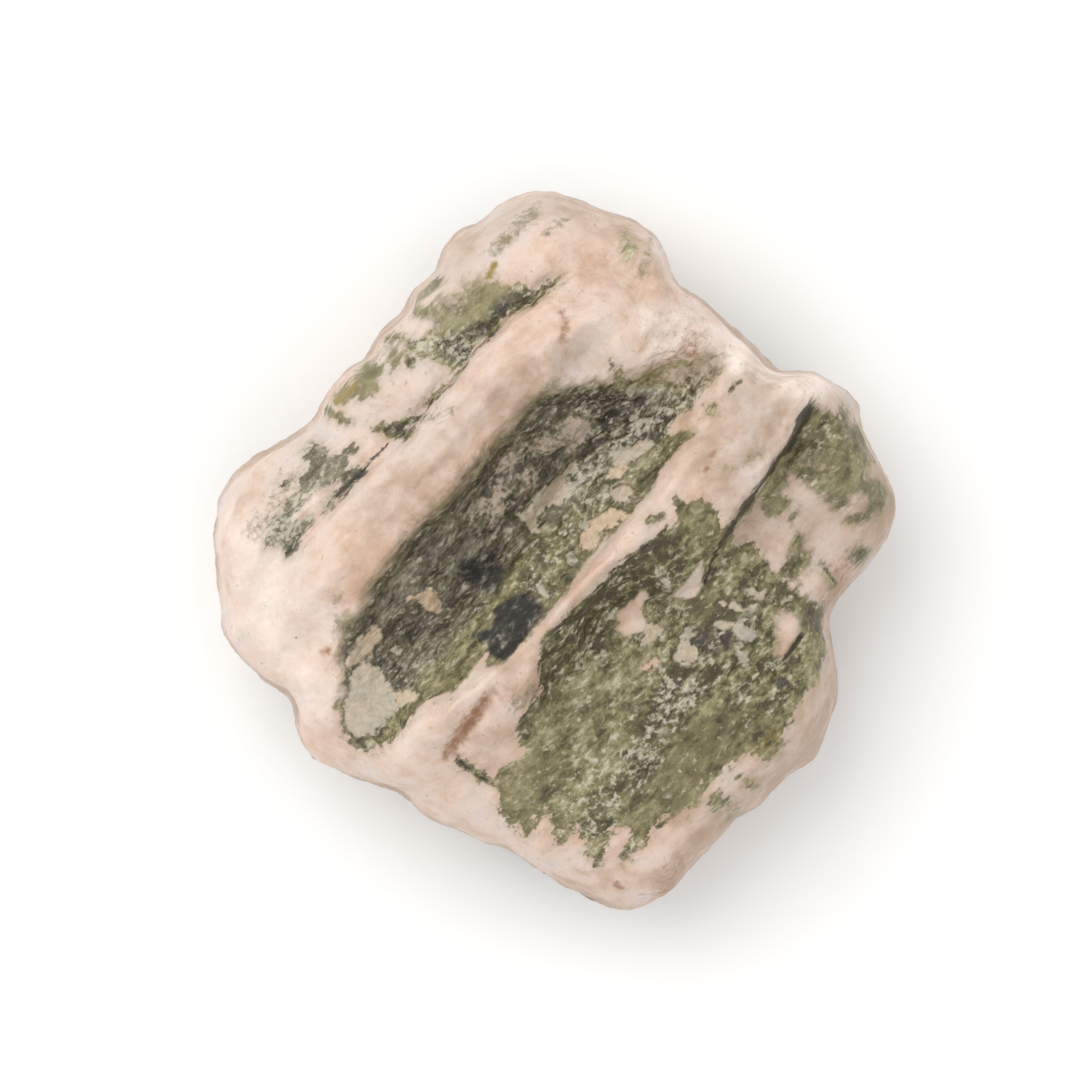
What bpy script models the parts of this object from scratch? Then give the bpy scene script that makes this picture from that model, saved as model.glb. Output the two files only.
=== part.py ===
"""Rough green tourmaline in pink feldspar: one broken stone, lying on the flat of its underside.

The stone is modelled in one piece. Its tourmaline blades run along one direction, the grain, and the
ridges, ledges and the long trough of the upper side follow them.
+Z is up, X and Y are the stone's plan seen from above, and the origin is under the middle of the plan.
"""

import math

import bmesh
import bpy
from mathutils import Vector, geometry, noise

MM = 0.001  # the sizes below are in millimetres, the model is in metres

# Driving sizes
PLAN_WIDTH = 48.8  # along X
PLAN_LENGTH = 51.4  # along Y
HEIGHT = 24.0  # highest crest above the resting face
GRAIN_ANGLE = math.radians(47)  # the tourmaline blades' direction, from +X towards +Y

# The plan's outline, which is the stone's waist, anticlockwise from the right, with its notches
OUTLINE = (
    (24.4, 1.4), (24.4, 3.6), (23.4, 5.9), (22.1, 8.6), (21.6, 10.5), (20.5, 11.6), (18.4, 12.7),
    (17.1, 12.6), (15.8, 12.7), (14.3, 14.1), (12.4, 16.1), (10.5, 17.9), (8.9, 19.0), (7.9, 21.4),
    (7.4, 22.4), (5.5, 23.6), (4.3, 23.9), (3.2, 24.4), (1.8, 25.0), (-1.1, 25.7), (-2.9, 25.2),
    (-4.3, 24.5), (-5.4, 23.6), (-6.9, 22.7), (-8.0, 21.2), (-8.3, 20.1), (-10.0, 18.6),
    (-10.6, 17.0), (-12.4, 15.2), (-13.6, 13.5), (-14.6, 13.1), (-16.1, 11.6), (-17.2, 9.4),
    (-18.9, 7.9), (-21.8, 6.3), (-23.6, 4.4), (-24.2, 2.3), (-24.4, 0.4), (-23.9, -3.9),
    (-23.5, -6.4), (-22.1, -8.2), (-20.5, -9.6), (-18.9, -10.7), (-18.3, -13.2), (-17.3, -15.0),
    (-15.4, -15.9), (-12.9, -16.9), (-10.7, -17.6), (-8.8, -19.4), (-6.6, -20.2), (-4.8, -21.1),
    (-3.2, -21.6), (-1.1, -23.2), (1.8, -24.5), (4.3, -25.5), (6.4, -25.6), (8.5, -24.6),
    (9.6, -22.8), (11.5, -20.9), (12.9, -19.2), (14.3, -18.5), (16.4, -16.4), (18.6, -14.8),
    (19.9, -11.8), (20.1, -9.3), (19.9, -7.6), (19.6, -4.9), (20.9, -2.9), (23.1, -0.4),
)

# The upper side is a loft through lines that run along the grain. Each line has, at every station along
# the grain, how far it lies across the grain (positive to the lower right of the plan) and how high.
STATIONS = (-22.0, -17.0, -12.0, -6.0, 0.0, 6.0, 12.0, 18.0)
GRAIN_LINES = {
    "upper_left_rim": (
        (-20.5, -20.5, -20.5, -20.0, -20.0, -20.5, -20.6, -19.0),
        (11.0, 13.0, 14.2, 14.4, 14.6, 14.6, 14.4, 13.6),
    ),
    "terrace": (
        (-17.2, -17.2, -17.3, -16.8, -17.0, -17.2, -17.5, -16.0),
        (12.4, 14.4, 15.8, 16.0, 16.5, 16.7, 16.6, 15.6),
    ),
    "ledge_foot": (
        (-14.0, -14.0, -13.9, -13.8, -13.4, -13.8, -13.3, -12.5),
        (13.0, 15.6, 17.3, 17.5, 17.8, 18.0, 18.2, 17.0),
    ),
    "ledge_top": (
        (-13.0, -13.0, -13.0, -12.9, -12.5, -12.9, -12.3, -11.5),
        (13.3, 16.2, 19.0, 20.0, 20.8, 21.2, 20.4, 17.4),
    ),
    "main_crest": (
        (-10.5, -10.5, -10.4, -10.6, -10.6, -10.9, -9.8, -7.5),
        (13.6, 17.4, 21.0, 22.6, 23.6, 24.0, 22.4, 19.0),
    ),
    "trough_rim": (
        (-3.4, -4.6, -7.6, -8.3, -8.2, -8.9, -5.0, -1.8),
        (14.0, 17.0, 20.4, 21.8, 22.6, 22.8, 20.8, 19.2),
    ),
    "trough_wall": (
        (-3.0, -3.9, -6.2, -6.8, -6.7, -7.3, -3.9, -1.2),
        (13.9, 16.5, 18.0, 18.4, 18.6, 18.9, 19.0, 18.7),
    ),
    "trough_floor": (
        (-2.2, -2.6, -3.2, -2.6, -3.0, -3.9, -2.4, -0.6),
        (13.8, 16.2, 16.2, 15.8, 16.0, 16.6, 17.8, 18.4),
    ),
    "trough_step": (
        (-1.2, -1.4, -1.9, -1.5, -2.1, -3.0, -1.6, -0.2),
        (13.9, 16.4, 17.2, 17.5, 17.8, 17.9, 18.4, 18.7),
    ),
    "thin_ridge_foot": (
        (0.6, 0.4, 1.4, 2.6, 2.6, 2.3, 0.9, 0.3),
        (14.0, 17.0, 19.0, 19.8, 20.4, 20.6, 20.2, 19.4),
    ),
    "thin_ridge": (
        (1.4, 1.4, 2.5, 3.3, 3.2, 3.3, 2.8, 2.0),
        (14.0, 17.6, 20.2, 21.0, 21.6, 21.8, 21.4, 20.0),
    ),
    "thin_ridge_side": (
        (2.4, 2.8, 5.0, 4.3, 3.9, 4.4, 5.0, 4.4),
        (13.6, 17.3, 19.8, 20.5, 21.0, 21.3, 21.2, 20.2),
    ),
    "step_top": (
        (3.4, 4.2, 6.2, 5.9, 6.0, 8.4, 7.5, 6.5),
        (13.2, 16.5, 18.5, 18.2, 18.7, 19.7, 20.2, 19.5),
    ),
    "step_foot": (
        (4.4, 5.6, 7.4, 7.2, 7.4, 9.1, 8.2, 7.2),
        (12.8, 15.9, 17.6, 17.4, 17.8, 18.0, 17.8, 17.1),
    ),
    "green_slope": (
        (6.0, 9.0, 13.0, 14.0, 13.5, 14.0, 12.0, 11.0),
        (12.2, 14.9, 16.2, 16.5, 16.9, 17.1, 16.9, 16.2),
    ),
    "lower_right_edge": (
        (9.0, 13.0, 18.5, 20.0, 20.2, 18.5, 15.5, 14.5),
        (11.4, 13.4, 14.5, 14.7, 14.9, 15.2, 15.2, 14.4),
    ),
    "lower_right_rim": (
        (12.0, 17.0, 23.0, 23.4, 23.8, 22.0, 18.0, 17.0),
        (10.4, 11.2, 12.0, 12.3, 12.5, 12.8, 12.8, 12.4),
    ),
}

# Swells and hollows that don't follow those lines: place in the plan, reach along and across the grain,
# and height
SWELLS = (
    (0.4, 22.1, 6.0, 5.0, 0.9),
    (1.9, 13.6, 3.4, 2.3, -1.8),
    (-21.2, 0.8, 5.0, 4.0, 1.0),
    (-17.0, -6.5, 4.5, 2.8, -0.7),
    (-9.6, -15.6, 5.5, 3.0, 1.1),
    (-6.0, -12.6, 4.0, 1.5, -1.1),
    (20.8, 5.4, 4.0, 4.5, 1.1),
    (14.6, 2.6, 3.0, 3.4, -0.6),
    (3.4, -4.2, 6.0, 2.4, -0.8),
    (12.6, -6.6, 4.6, 4.6, 0.9),
    (1.0, -16.6, 5.0, 3.2, -0.8),
    (9.6, -17.6, 4.2, 3.6, 0.8),
)

# Round the edge the upper side turns down to the waist
TURN_START = 0.91  # where the turn starts, as a share of the way to the waist
TURN_RINGS = (0.91, 0.955, 0.985, 1.0)
WAIST_HEIGHT = 8.6
WAIST_SWING = 1.0

# Below the waist the outline's lobes are worn down to the depth of its notches
BASE_SHARE = 0.46  # the resting face, as a share of the plan
UNDERSIDE_RINGS = (0.14, 0.30, 0.46, 0.62, 0.77, 0.90, 1.0)  # from the waist down to the resting face
NOTCH_REACH = math.radians(11)  # how far to either side a notch wears the lobes down
WORN_BY = 0.65  # the share of the way down where the lobes are fully worn

# Broken faces of the underside: compass direction and downward tilt of the face, and how far under the
# waist it starts
BREAKS = (
    (12.0, 38.0, 1.8),
    (52.0, 24.0, 2.6),
    (98.0, 44.0, 2.0),
    (137.0, 20.0, 3.2),
    (176.0, 41.0, 1.6),
    (214.0, 30.0, 2.4),
    (256.0, 47.0, 1.8),
    (312.0, 27.0, 2.8),
    (344.0, 50.0, 2.2),
)
BREAK_SOFTNESS = 0.9  # 1 would make each broken face quite flat

# Lumps all over: wavelength and height. They fade out at the waist, which keeps the traced outline.
LUMPS = ((8.0, 1.2), (3.2, 0.55))
LUMP_FADE = 2.5

# Mesh
POINT_SPACING = 0.76  # between the upper side's points
ROW_SPACING = POINT_SPACING * math.sqrt(3) / 2  # rows of evenly staggered points
LINES_REACH = TURN_START - 0.02  # where the grain lines end, as a share of the way to the waist
RIM_POINTS = 186  # on each ring round the stone
MERGE_DISTANCE = 1e-4

LEAST_CLEARANCE = 0.25  # nothing but the resting face comes nearer to the surface that the stone lies on

SHARP_EDGE = math.radians(40)
STONE_COLOUR = (0.66, 0.53, 0.45, 1.0)


def smooth_at(stations, values, where):
    """A smooth curve through the values, read at one place; level beyond both ends."""
    if where <= stations[0]:
        return values[0]
    if where >= stations[-1]:
        return values[-1]
    i = max(k for k, station in enumerate(stations) if station <= where)
    span = stations[i + 1] - stations[i]
    t = (where - stations[i]) / span

    def slope(k):
        low, high = max(k - 1, 0), min(k + 1, len(stations) - 1)
        return (values[high] - values[low]) / (stations[high] - stations[low]) * span

    a, b = values[i], values[i + 1]
    return (
        (2 * t**3 - 3 * t**2 + 1) * a
        + (t**3 - 2 * t**2 + t) * slope(i)
        + (3 * t**2 - 2 * t**3) * b
        + (t**3 - t**2) * slope(i + 1)
    )


def outline_curve():
    """The outline as (angles, radii) about the origin, over a little more than one turn."""
    polar = sorted((math.atan2(y, x), math.hypot(x, y)) for x, y in OUTLINE)
    overlap = 3
    before = [(angle - math.tau, radius) for angle, radius in polar[-overlap:]]
    after = [(angle + math.tau, radius) for angle, radius in polar[:overlap]]
    return tuple(zip(*(before + polar + after)))


ANGLES, RADII = outline_curve()


def waist_radius(angle):
    return smooth_at(ANGLES, RADII, math.remainder(angle, math.tau))


def worn_radius(angle):
    """A smooth outline that lies within the waist, with the lobes worn down."""
    steps = [step * NOTCH_REACH / 4 for step in range(-4, 5)]
    notches = [min(waist_radius(angle + shift + step) for step in steps) for shift in steps]
    return sum(notches) / len(notches)


def waist_height(angle):
    return WAIST_HEIGHT + WAIST_SWING * math.sin(2 * angle + 0.6) + 0.5 * WAIST_SWING * math.sin(5 * angle)


def share_of_way(x, y):
    """How far out a point of the plan lies, as a share of the way to the waist."""
    return math.hypot(x, y) / waist_radius(math.atan2(y, x))


def to_grain(x, y):
    """How far a point of the plan lies along and across the grain."""
    c, s = math.cos(GRAIN_ANGLE), math.sin(GRAIN_ANGLE)
    return x * c + y * s, x * s - y * c


def from_grain(along, across):
    c, s = math.cos(GRAIN_ANGLE), math.sin(GRAIN_ANGLE)
    return along * c + across * s, along * s - across * c


def section(along):
    """The upper side's cross-section at one place along the grain: (across, height) of every line."""
    return [
        (smooth_at(STATIONS, across, along), smooth_at(STATIONS, height, along))
        for across, height in GRAIN_LINES.values()
    ]


def loft_height(along, across):
    points = section(along)
    for (left, left_height), (right, right_height) in zip(points, points[1:]):
        if across <= right:
            t = max(0.0, (across - left) / (right - left))
            return left_height + t * (right_height - left_height)
    return points[-1][1]


def swell_height(along, across):
    height = 0.0
    for x, y, reach_along, reach_across, swell in SWELLS:
        middle_along, middle_across = to_grain(x, y)
        away = math.hypot((along - middle_along) / reach_along, (across - middle_across) / reach_across)
        if away < 1:
            height += swell * (1 - away**2) ** 2
    return height


def upper_point(x, y):
    """A point of the upper side, with the turn down to the waist near the outline."""
    along, across = to_grain(x, y)
    height = loft_height(along, across) + swell_height(along, across)
    turn = (share_of_way(x, y) - TURN_START) / (1 - TURN_START)
    if turn > 0:
        waist = waist_height(math.atan2(y, x))
        height = waist + (height - waist) * math.sqrt(max(0.0, 1 - turn**2))
    return Vector((x, y, height))


def underside_point(angle, drop):
    """A point between the waist (drop 0) and the edge of the resting face (drop 1)."""
    wear = min(1.0, drop / WORN_BY)
    radius = waist_radius(angle) * (1 - wear) + worn_radius(angle) * wear
    share = BASE_SHARE + (1 - BASE_SHARE) * math.sqrt(max(0.0, 1 - drop**3))
    away = Vector((math.cos(angle), math.sin(angle))) * radius * share
    return Vector((away.x, away.y, waist_height(angle) * (1 - drop)))


def plan_rings():
    """The closed rings of points near the outline, the outermost of which is the waist."""
    angles = [math.tau * i / RIM_POINTS for i in range(RIM_POINTS)]
    for share in TURN_RINGS:
        yield [
            (waist_radius(angle) * share * math.cos(angle), waist_radius(angle) * share * math.sin(angle))
            for angle in angles
        ]


def plan_lines():
    """The grain lines as rows of points, as far as they lie inside the turn."""
    reach = max(math.hypot(x, y) for x, y in OUTLINE)
    stops = [-reach + POINT_SPACING * i for i in range(int(2 * reach / POINT_SPACING) + 1)]
    for across, _ in GRAIN_LINES.values():
        row = [from_grain(along, smooth_at(STATIONS, across, along)) for along in stops]
        yield [point for point in row if share_of_way(*point) < LINES_REACH]


def plan_fill():
    """Points in staggered rows between the grain lines."""
    reach = max(math.hypot(x, y) for x, y in OUTLINE)
    rows = int(reach / ROW_SPACING)
    for row in range(-rows, rows + 1):
        for step in range(-rows, rows + 1):
            along = (step + 0.5 * (row % 2)) * POINT_SPACING
            across = row * ROW_SPACING
            x, y = from_grain(along, across)
            clear = min(abs(line - across) for line, _ in section(along)) > POINT_SPACING / 2
            if clear and share_of_way(x, y) < LINES_REACH:
                yield x, y


def build_upper_side(mesh):
    """Triangles over the plan, with the rings and the grain lines as edges, raised to the upper side."""
    points, edges = [], []
    for ring in plan_rings():
        first = len(points)
        points += ring
        edges += [(first + i, first + (i + 1) % len(ring)) for i in range(len(ring))]
    for line in plan_lines():
        first = len(points)
        points += line
        edges += [(first + i, first + i + 1) for i in range(len(line) - 1)]
    points += plan_fill()
    flat = [Vector(point) for point in points]
    corners, _, triangles, *_ = geometry.delaunay_2d_cdt(flat, edges, [], 0, MERGE_DISTANCE, False)
    verts = [mesh.verts.new(upper_point(corner.x, corner.y)) for corner in corners]
    on_waist = [share_of_way(corner.x, corner.y) > 0.999 for corner in corners]
    for triangle in triangles:
        across_a_notch = all(on_waist[i] for i in triangle)
        if not across_a_notch:
            mesh.faces.new([verts[i] for i in triangle])


def build_underside(mesh):
    """Draws rings out of the waist, down to the resting face, and closes that."""
    rim = [edge for edge in mesh.edges if edge.is_boundary]
    for drop in UNDERSIDE_RINGS:
        grown = bmesh.ops.extrude_edge_only(mesh, edges=rim)["geom"]
        rim = [item for item in grown if isinstance(item, bmesh.types.BMEdge) and item.is_boundary]
        for vert in {vert for edge in rim for vert in edge.verts}:
            vert.co = underside_point(math.atan2(vert.co.y, vert.co.x), drop)
    bmesh.ops.contextual_create(mesh, geom=rim)


def lumpy(point):
    """The point moved by the stone's lumps: up or down above the waist, outwards or inwards under it."""
    height = sum(size * noise.noise(point / wavelength) for wavelength, size in LUMPS)
    above = point.z - WAIST_HEIGHT
    outward = Vector((0, 0, 1)) if above > 0 else Vector((point.x, point.y, above)).normalized()
    return point + outward * height * min(1.0, abs(above) / LUMP_FADE)


def broken(point):
    """The point pulled back to the broken faces that it stands out of."""
    for compass, tilt, start in BREAKS:
        direction, dip = math.radians(compass), math.radians(tilt)
        level = Vector((math.cos(direction), math.sin(direction), 0))
        outward = level * math.cos(dip) - Vector((0, 0, math.sin(dip)))
        edge = max(level.x * x + level.y * y for x, y in OUTLINE)
        on_face = level * edge + Vector((0, 0, WAIST_HEIGHT - start))
        beyond = (point - on_face).dot(outward)
        if beyond > 0:
            point = point - outward * beyond * BREAK_SOFTNESS
    return point


def weather(mesh):
    """Lumps and broken faces everywhere but on the resting face, which stays flat."""
    for vert in mesh.verts:
        if vert.co.z > 0:
            vert.co = lumpy(broken(vert.co))
            vert.co.z = max(vert.co.z, LEAST_CLEARANCE)


def fit_to_size(mesh):
    """Brings the stone to its driving sizes, in metres, with the origin under the middle of the plan."""
    low = Vector([min(vert.co[axis] for vert in mesh.verts) for axis in range(3)])
    high = Vector([max(vert.co[axis] for vert in mesh.verts) for axis in range(3)])
    middle = (low + high) / 2
    bmesh.ops.translate(mesh, verts=mesh.verts, vec=(-middle.x, -middle.y, -low.z))
    wanted = Vector((PLAN_WIDTH, PLAN_LENGTH, HEIGHT))
    scale = [wanted[axis] / (high[axis] - low[axis]) * MM for axis in range(3)]
    bmesh.ops.scale(mesh, verts=mesh.verts, vec=scale)


def stone_material():
    material = bpy.data.materials.new("pink_feldspar_with_tourmaline")
    material.use_nodes = True
    shader = material.node_tree.nodes["Principled BSDF"]
    shader.inputs["Base Color"].default_value = STONE_COLOUR
    shader.inputs["Roughness"].default_value = 0.5
    shader.inputs["Metallic"].default_value = 0.0
    return material


def build_stone():
    mesh = bmesh.new()
    build_upper_side(mesh)
    build_underside(mesh)
    weather(mesh)
    fit_to_size(mesh)
    bmesh.ops.recalc_face_normals(mesh, faces=mesh.faces)
    data = bpy.data.meshes.new("stone")
    mesh.to_mesh(data)
    mesh.free()
    data.shade_smooth()
    data.set_sharp_from_angle(angle=SHARP_EDGE)
    data.materials.append(stone_material())
    stone = bpy.data.objects.new("stone", data)
    bpy.context.scene.collection.objects.link(stone)


for leftover in list(bpy.data.objects):
    bpy.data.objects.remove(leftover)
build_stone()
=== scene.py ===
# A rough green tourmaline in pink feldspar: the looks of the stone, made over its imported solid.
import math

import bmesh
import bpy
import numpy as np
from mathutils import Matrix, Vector, noise


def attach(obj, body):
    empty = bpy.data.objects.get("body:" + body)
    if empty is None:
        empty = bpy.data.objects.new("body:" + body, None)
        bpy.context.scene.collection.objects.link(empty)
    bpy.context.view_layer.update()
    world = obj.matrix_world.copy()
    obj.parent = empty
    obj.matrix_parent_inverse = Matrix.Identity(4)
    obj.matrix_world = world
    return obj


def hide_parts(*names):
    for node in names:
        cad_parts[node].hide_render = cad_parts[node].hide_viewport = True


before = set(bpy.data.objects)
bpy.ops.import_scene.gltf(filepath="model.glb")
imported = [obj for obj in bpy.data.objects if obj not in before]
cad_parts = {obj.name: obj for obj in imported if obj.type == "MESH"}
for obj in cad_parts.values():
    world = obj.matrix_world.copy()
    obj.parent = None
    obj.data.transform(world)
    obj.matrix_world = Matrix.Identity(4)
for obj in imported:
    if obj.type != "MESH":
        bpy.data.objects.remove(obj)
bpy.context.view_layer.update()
print("frame loaded")

mm = 0.001
photo = {
    "side": 1080,  # pixels
    "pixelsPerMm": 14.0,
    "originPixel": (555.0, 550.0),  # the pixel that the stone's origin lies under
}
grainTurn = math.radians(47)  # the direction of the tourmaline's blades, from +X towards +Y


# the place in the plan, in mm, of a pixel of the photograph
def fromPhoto(pixel):
    originX, originY = photo["originPixel"]
    return (pixel[0] - originX) / photo["pixelsPerMm"], (originY - pixel[1]) / photo["pixelsPerMm"]


# linear light from an sRGB hex colour
def toLinear(hexColour):
    parts = [int(hexColour[i:i + 2], 16) / 255 for i in (1, 3, 5)]
    linear = [part / 12.92 if part <= 0.04045 else ((part + 0.055) / 1.055) ** 2.4 for part in parts]
    return (*linear, 1.0)


# adds one node with its settings (properties, or sockets by name or number) and its links
def add(tree, kind, settings, links, out=0):
    node = tree.nodes.new("ShaderNode" + kind)
    for name, value in settings.items():
        if name == "stops":
            for _ in range(len(value) - 2):
                node.color_ramp.elements.new(0.5)
            for element, (position, hexColour) in zip(node.color_ramp.elements, value):
                element.position = position
                element.color = toLinear(hexColour)
        elif isinstance(name, str) and hasattr(node, name):
            setattr(node, name, value)
        else:
            node.inputs[name].default_value = value
    for name, source in links.items():
        tree.links.new(source, node.inputs[name])
    return node.outputs[out]


# Studio: a camera straight above, a large soft light to the upper left, a pale board
studio = {
    "lens": 900.0,  # mm, long and far away, so the stone's heights don't spread its outline
    "sensor": 36.0,
    "aimHeight": 12.0,  # mm
    "keyPlace": (-700.0, 620.0, 1400.0),  # mm
    "keySize": 1500.0,
    "keyPower": 12.0,
    "keyColour": "#fffdfa",
    "skyColour": "#ffffff",
    "skyStrength": 0.89,
    "farEnd": 20.0,  # m, how far the camera sees
}


def buildCamera():
    seenWidth = photo["side"] / photo["pixelsPerMm"]
    middle = photo["side"] / 2
    x, y = fromPhoto((middle, middle))
    data = bpy.data.cameras.new("camera")
    data.lens = studio["lens"]
    data.sensor_width = studio["sensor"]
    data.clip_end = studio["farEnd"]
    camera = bpy.data.objects.new("camera", data)
    height = studio["aimHeight"] + seenWidth * studio["lens"] / studio["sensor"]
    camera.location = Vector((x, y, height)) * mm
    bpy.context.scene.collection.objects.link(camera)
    bpy.context.scene.camera = camera


def buildLights():
    scene = bpy.context.scene
    scene.view_settings.view_transform = "Standard"
    data = bpy.data.lights.new("softbox", "AREA")
    data.shape = "DISK"
    data.size = studio["keySize"] * mm
    data.energy = studio["keyPower"]
    data.color = toLinear(studio["keyColour"])[:3]
    key = bpy.data.objects.new("softbox", data)
    key.location = Vector(studio["keyPlace"]) * mm
    key.rotation_euler = (-key.location).to_track_quat("-Z", "Y").to_euler()
    scene.collection.objects.link(key)
    scene.world = bpy.data.worlds.new("studio")
    scene.world.use_nodes = True
    background = scene.world.node_tree.nodes["Background"]
    background.inputs["Color"].default_value = toLinear(studio["skyColour"])
    background.inputs["Strength"].default_value = studio["skyStrength"]


boardLooks = {"width": 6000.0, "colour": "#fdfdfd", "roughness": 0.9, "specular": 0.1}  # mm


def boardMaterial():
    # matt painted board: a flat, even white with hardly any sheen
    material = bpy.data.materials.new("mattPaintedBoard")
    material.use_nodes = True
    shader = material.node_tree.nodes["Principled BSDF"]
    shader.inputs["Base Color"].default_value = toLinear(boardLooks["colour"])
    shader.inputs["Roughness"].default_value = boardLooks["roughness"]
    shader.inputs["Specular IOR Level"].default_value = boardLooks["specular"]
    return material


def buildBoard():
    mesh = bmesh.new()
    bmesh.ops.create_grid(mesh, x_segments=1, y_segments=1, size=boardLooks["width"] * mm / 2)
    data = bpy.data.meshes.new("board")
    mesh.to_mesh(data)
    mesh.free()
    data.materials.append(boardMaterial())
    board = bpy.data.objects.new("board", data)
    bpy.context.scene.collection.objects.link(board)


buildCamera()
buildLights()
buildBoard()
print("studio built")
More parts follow.
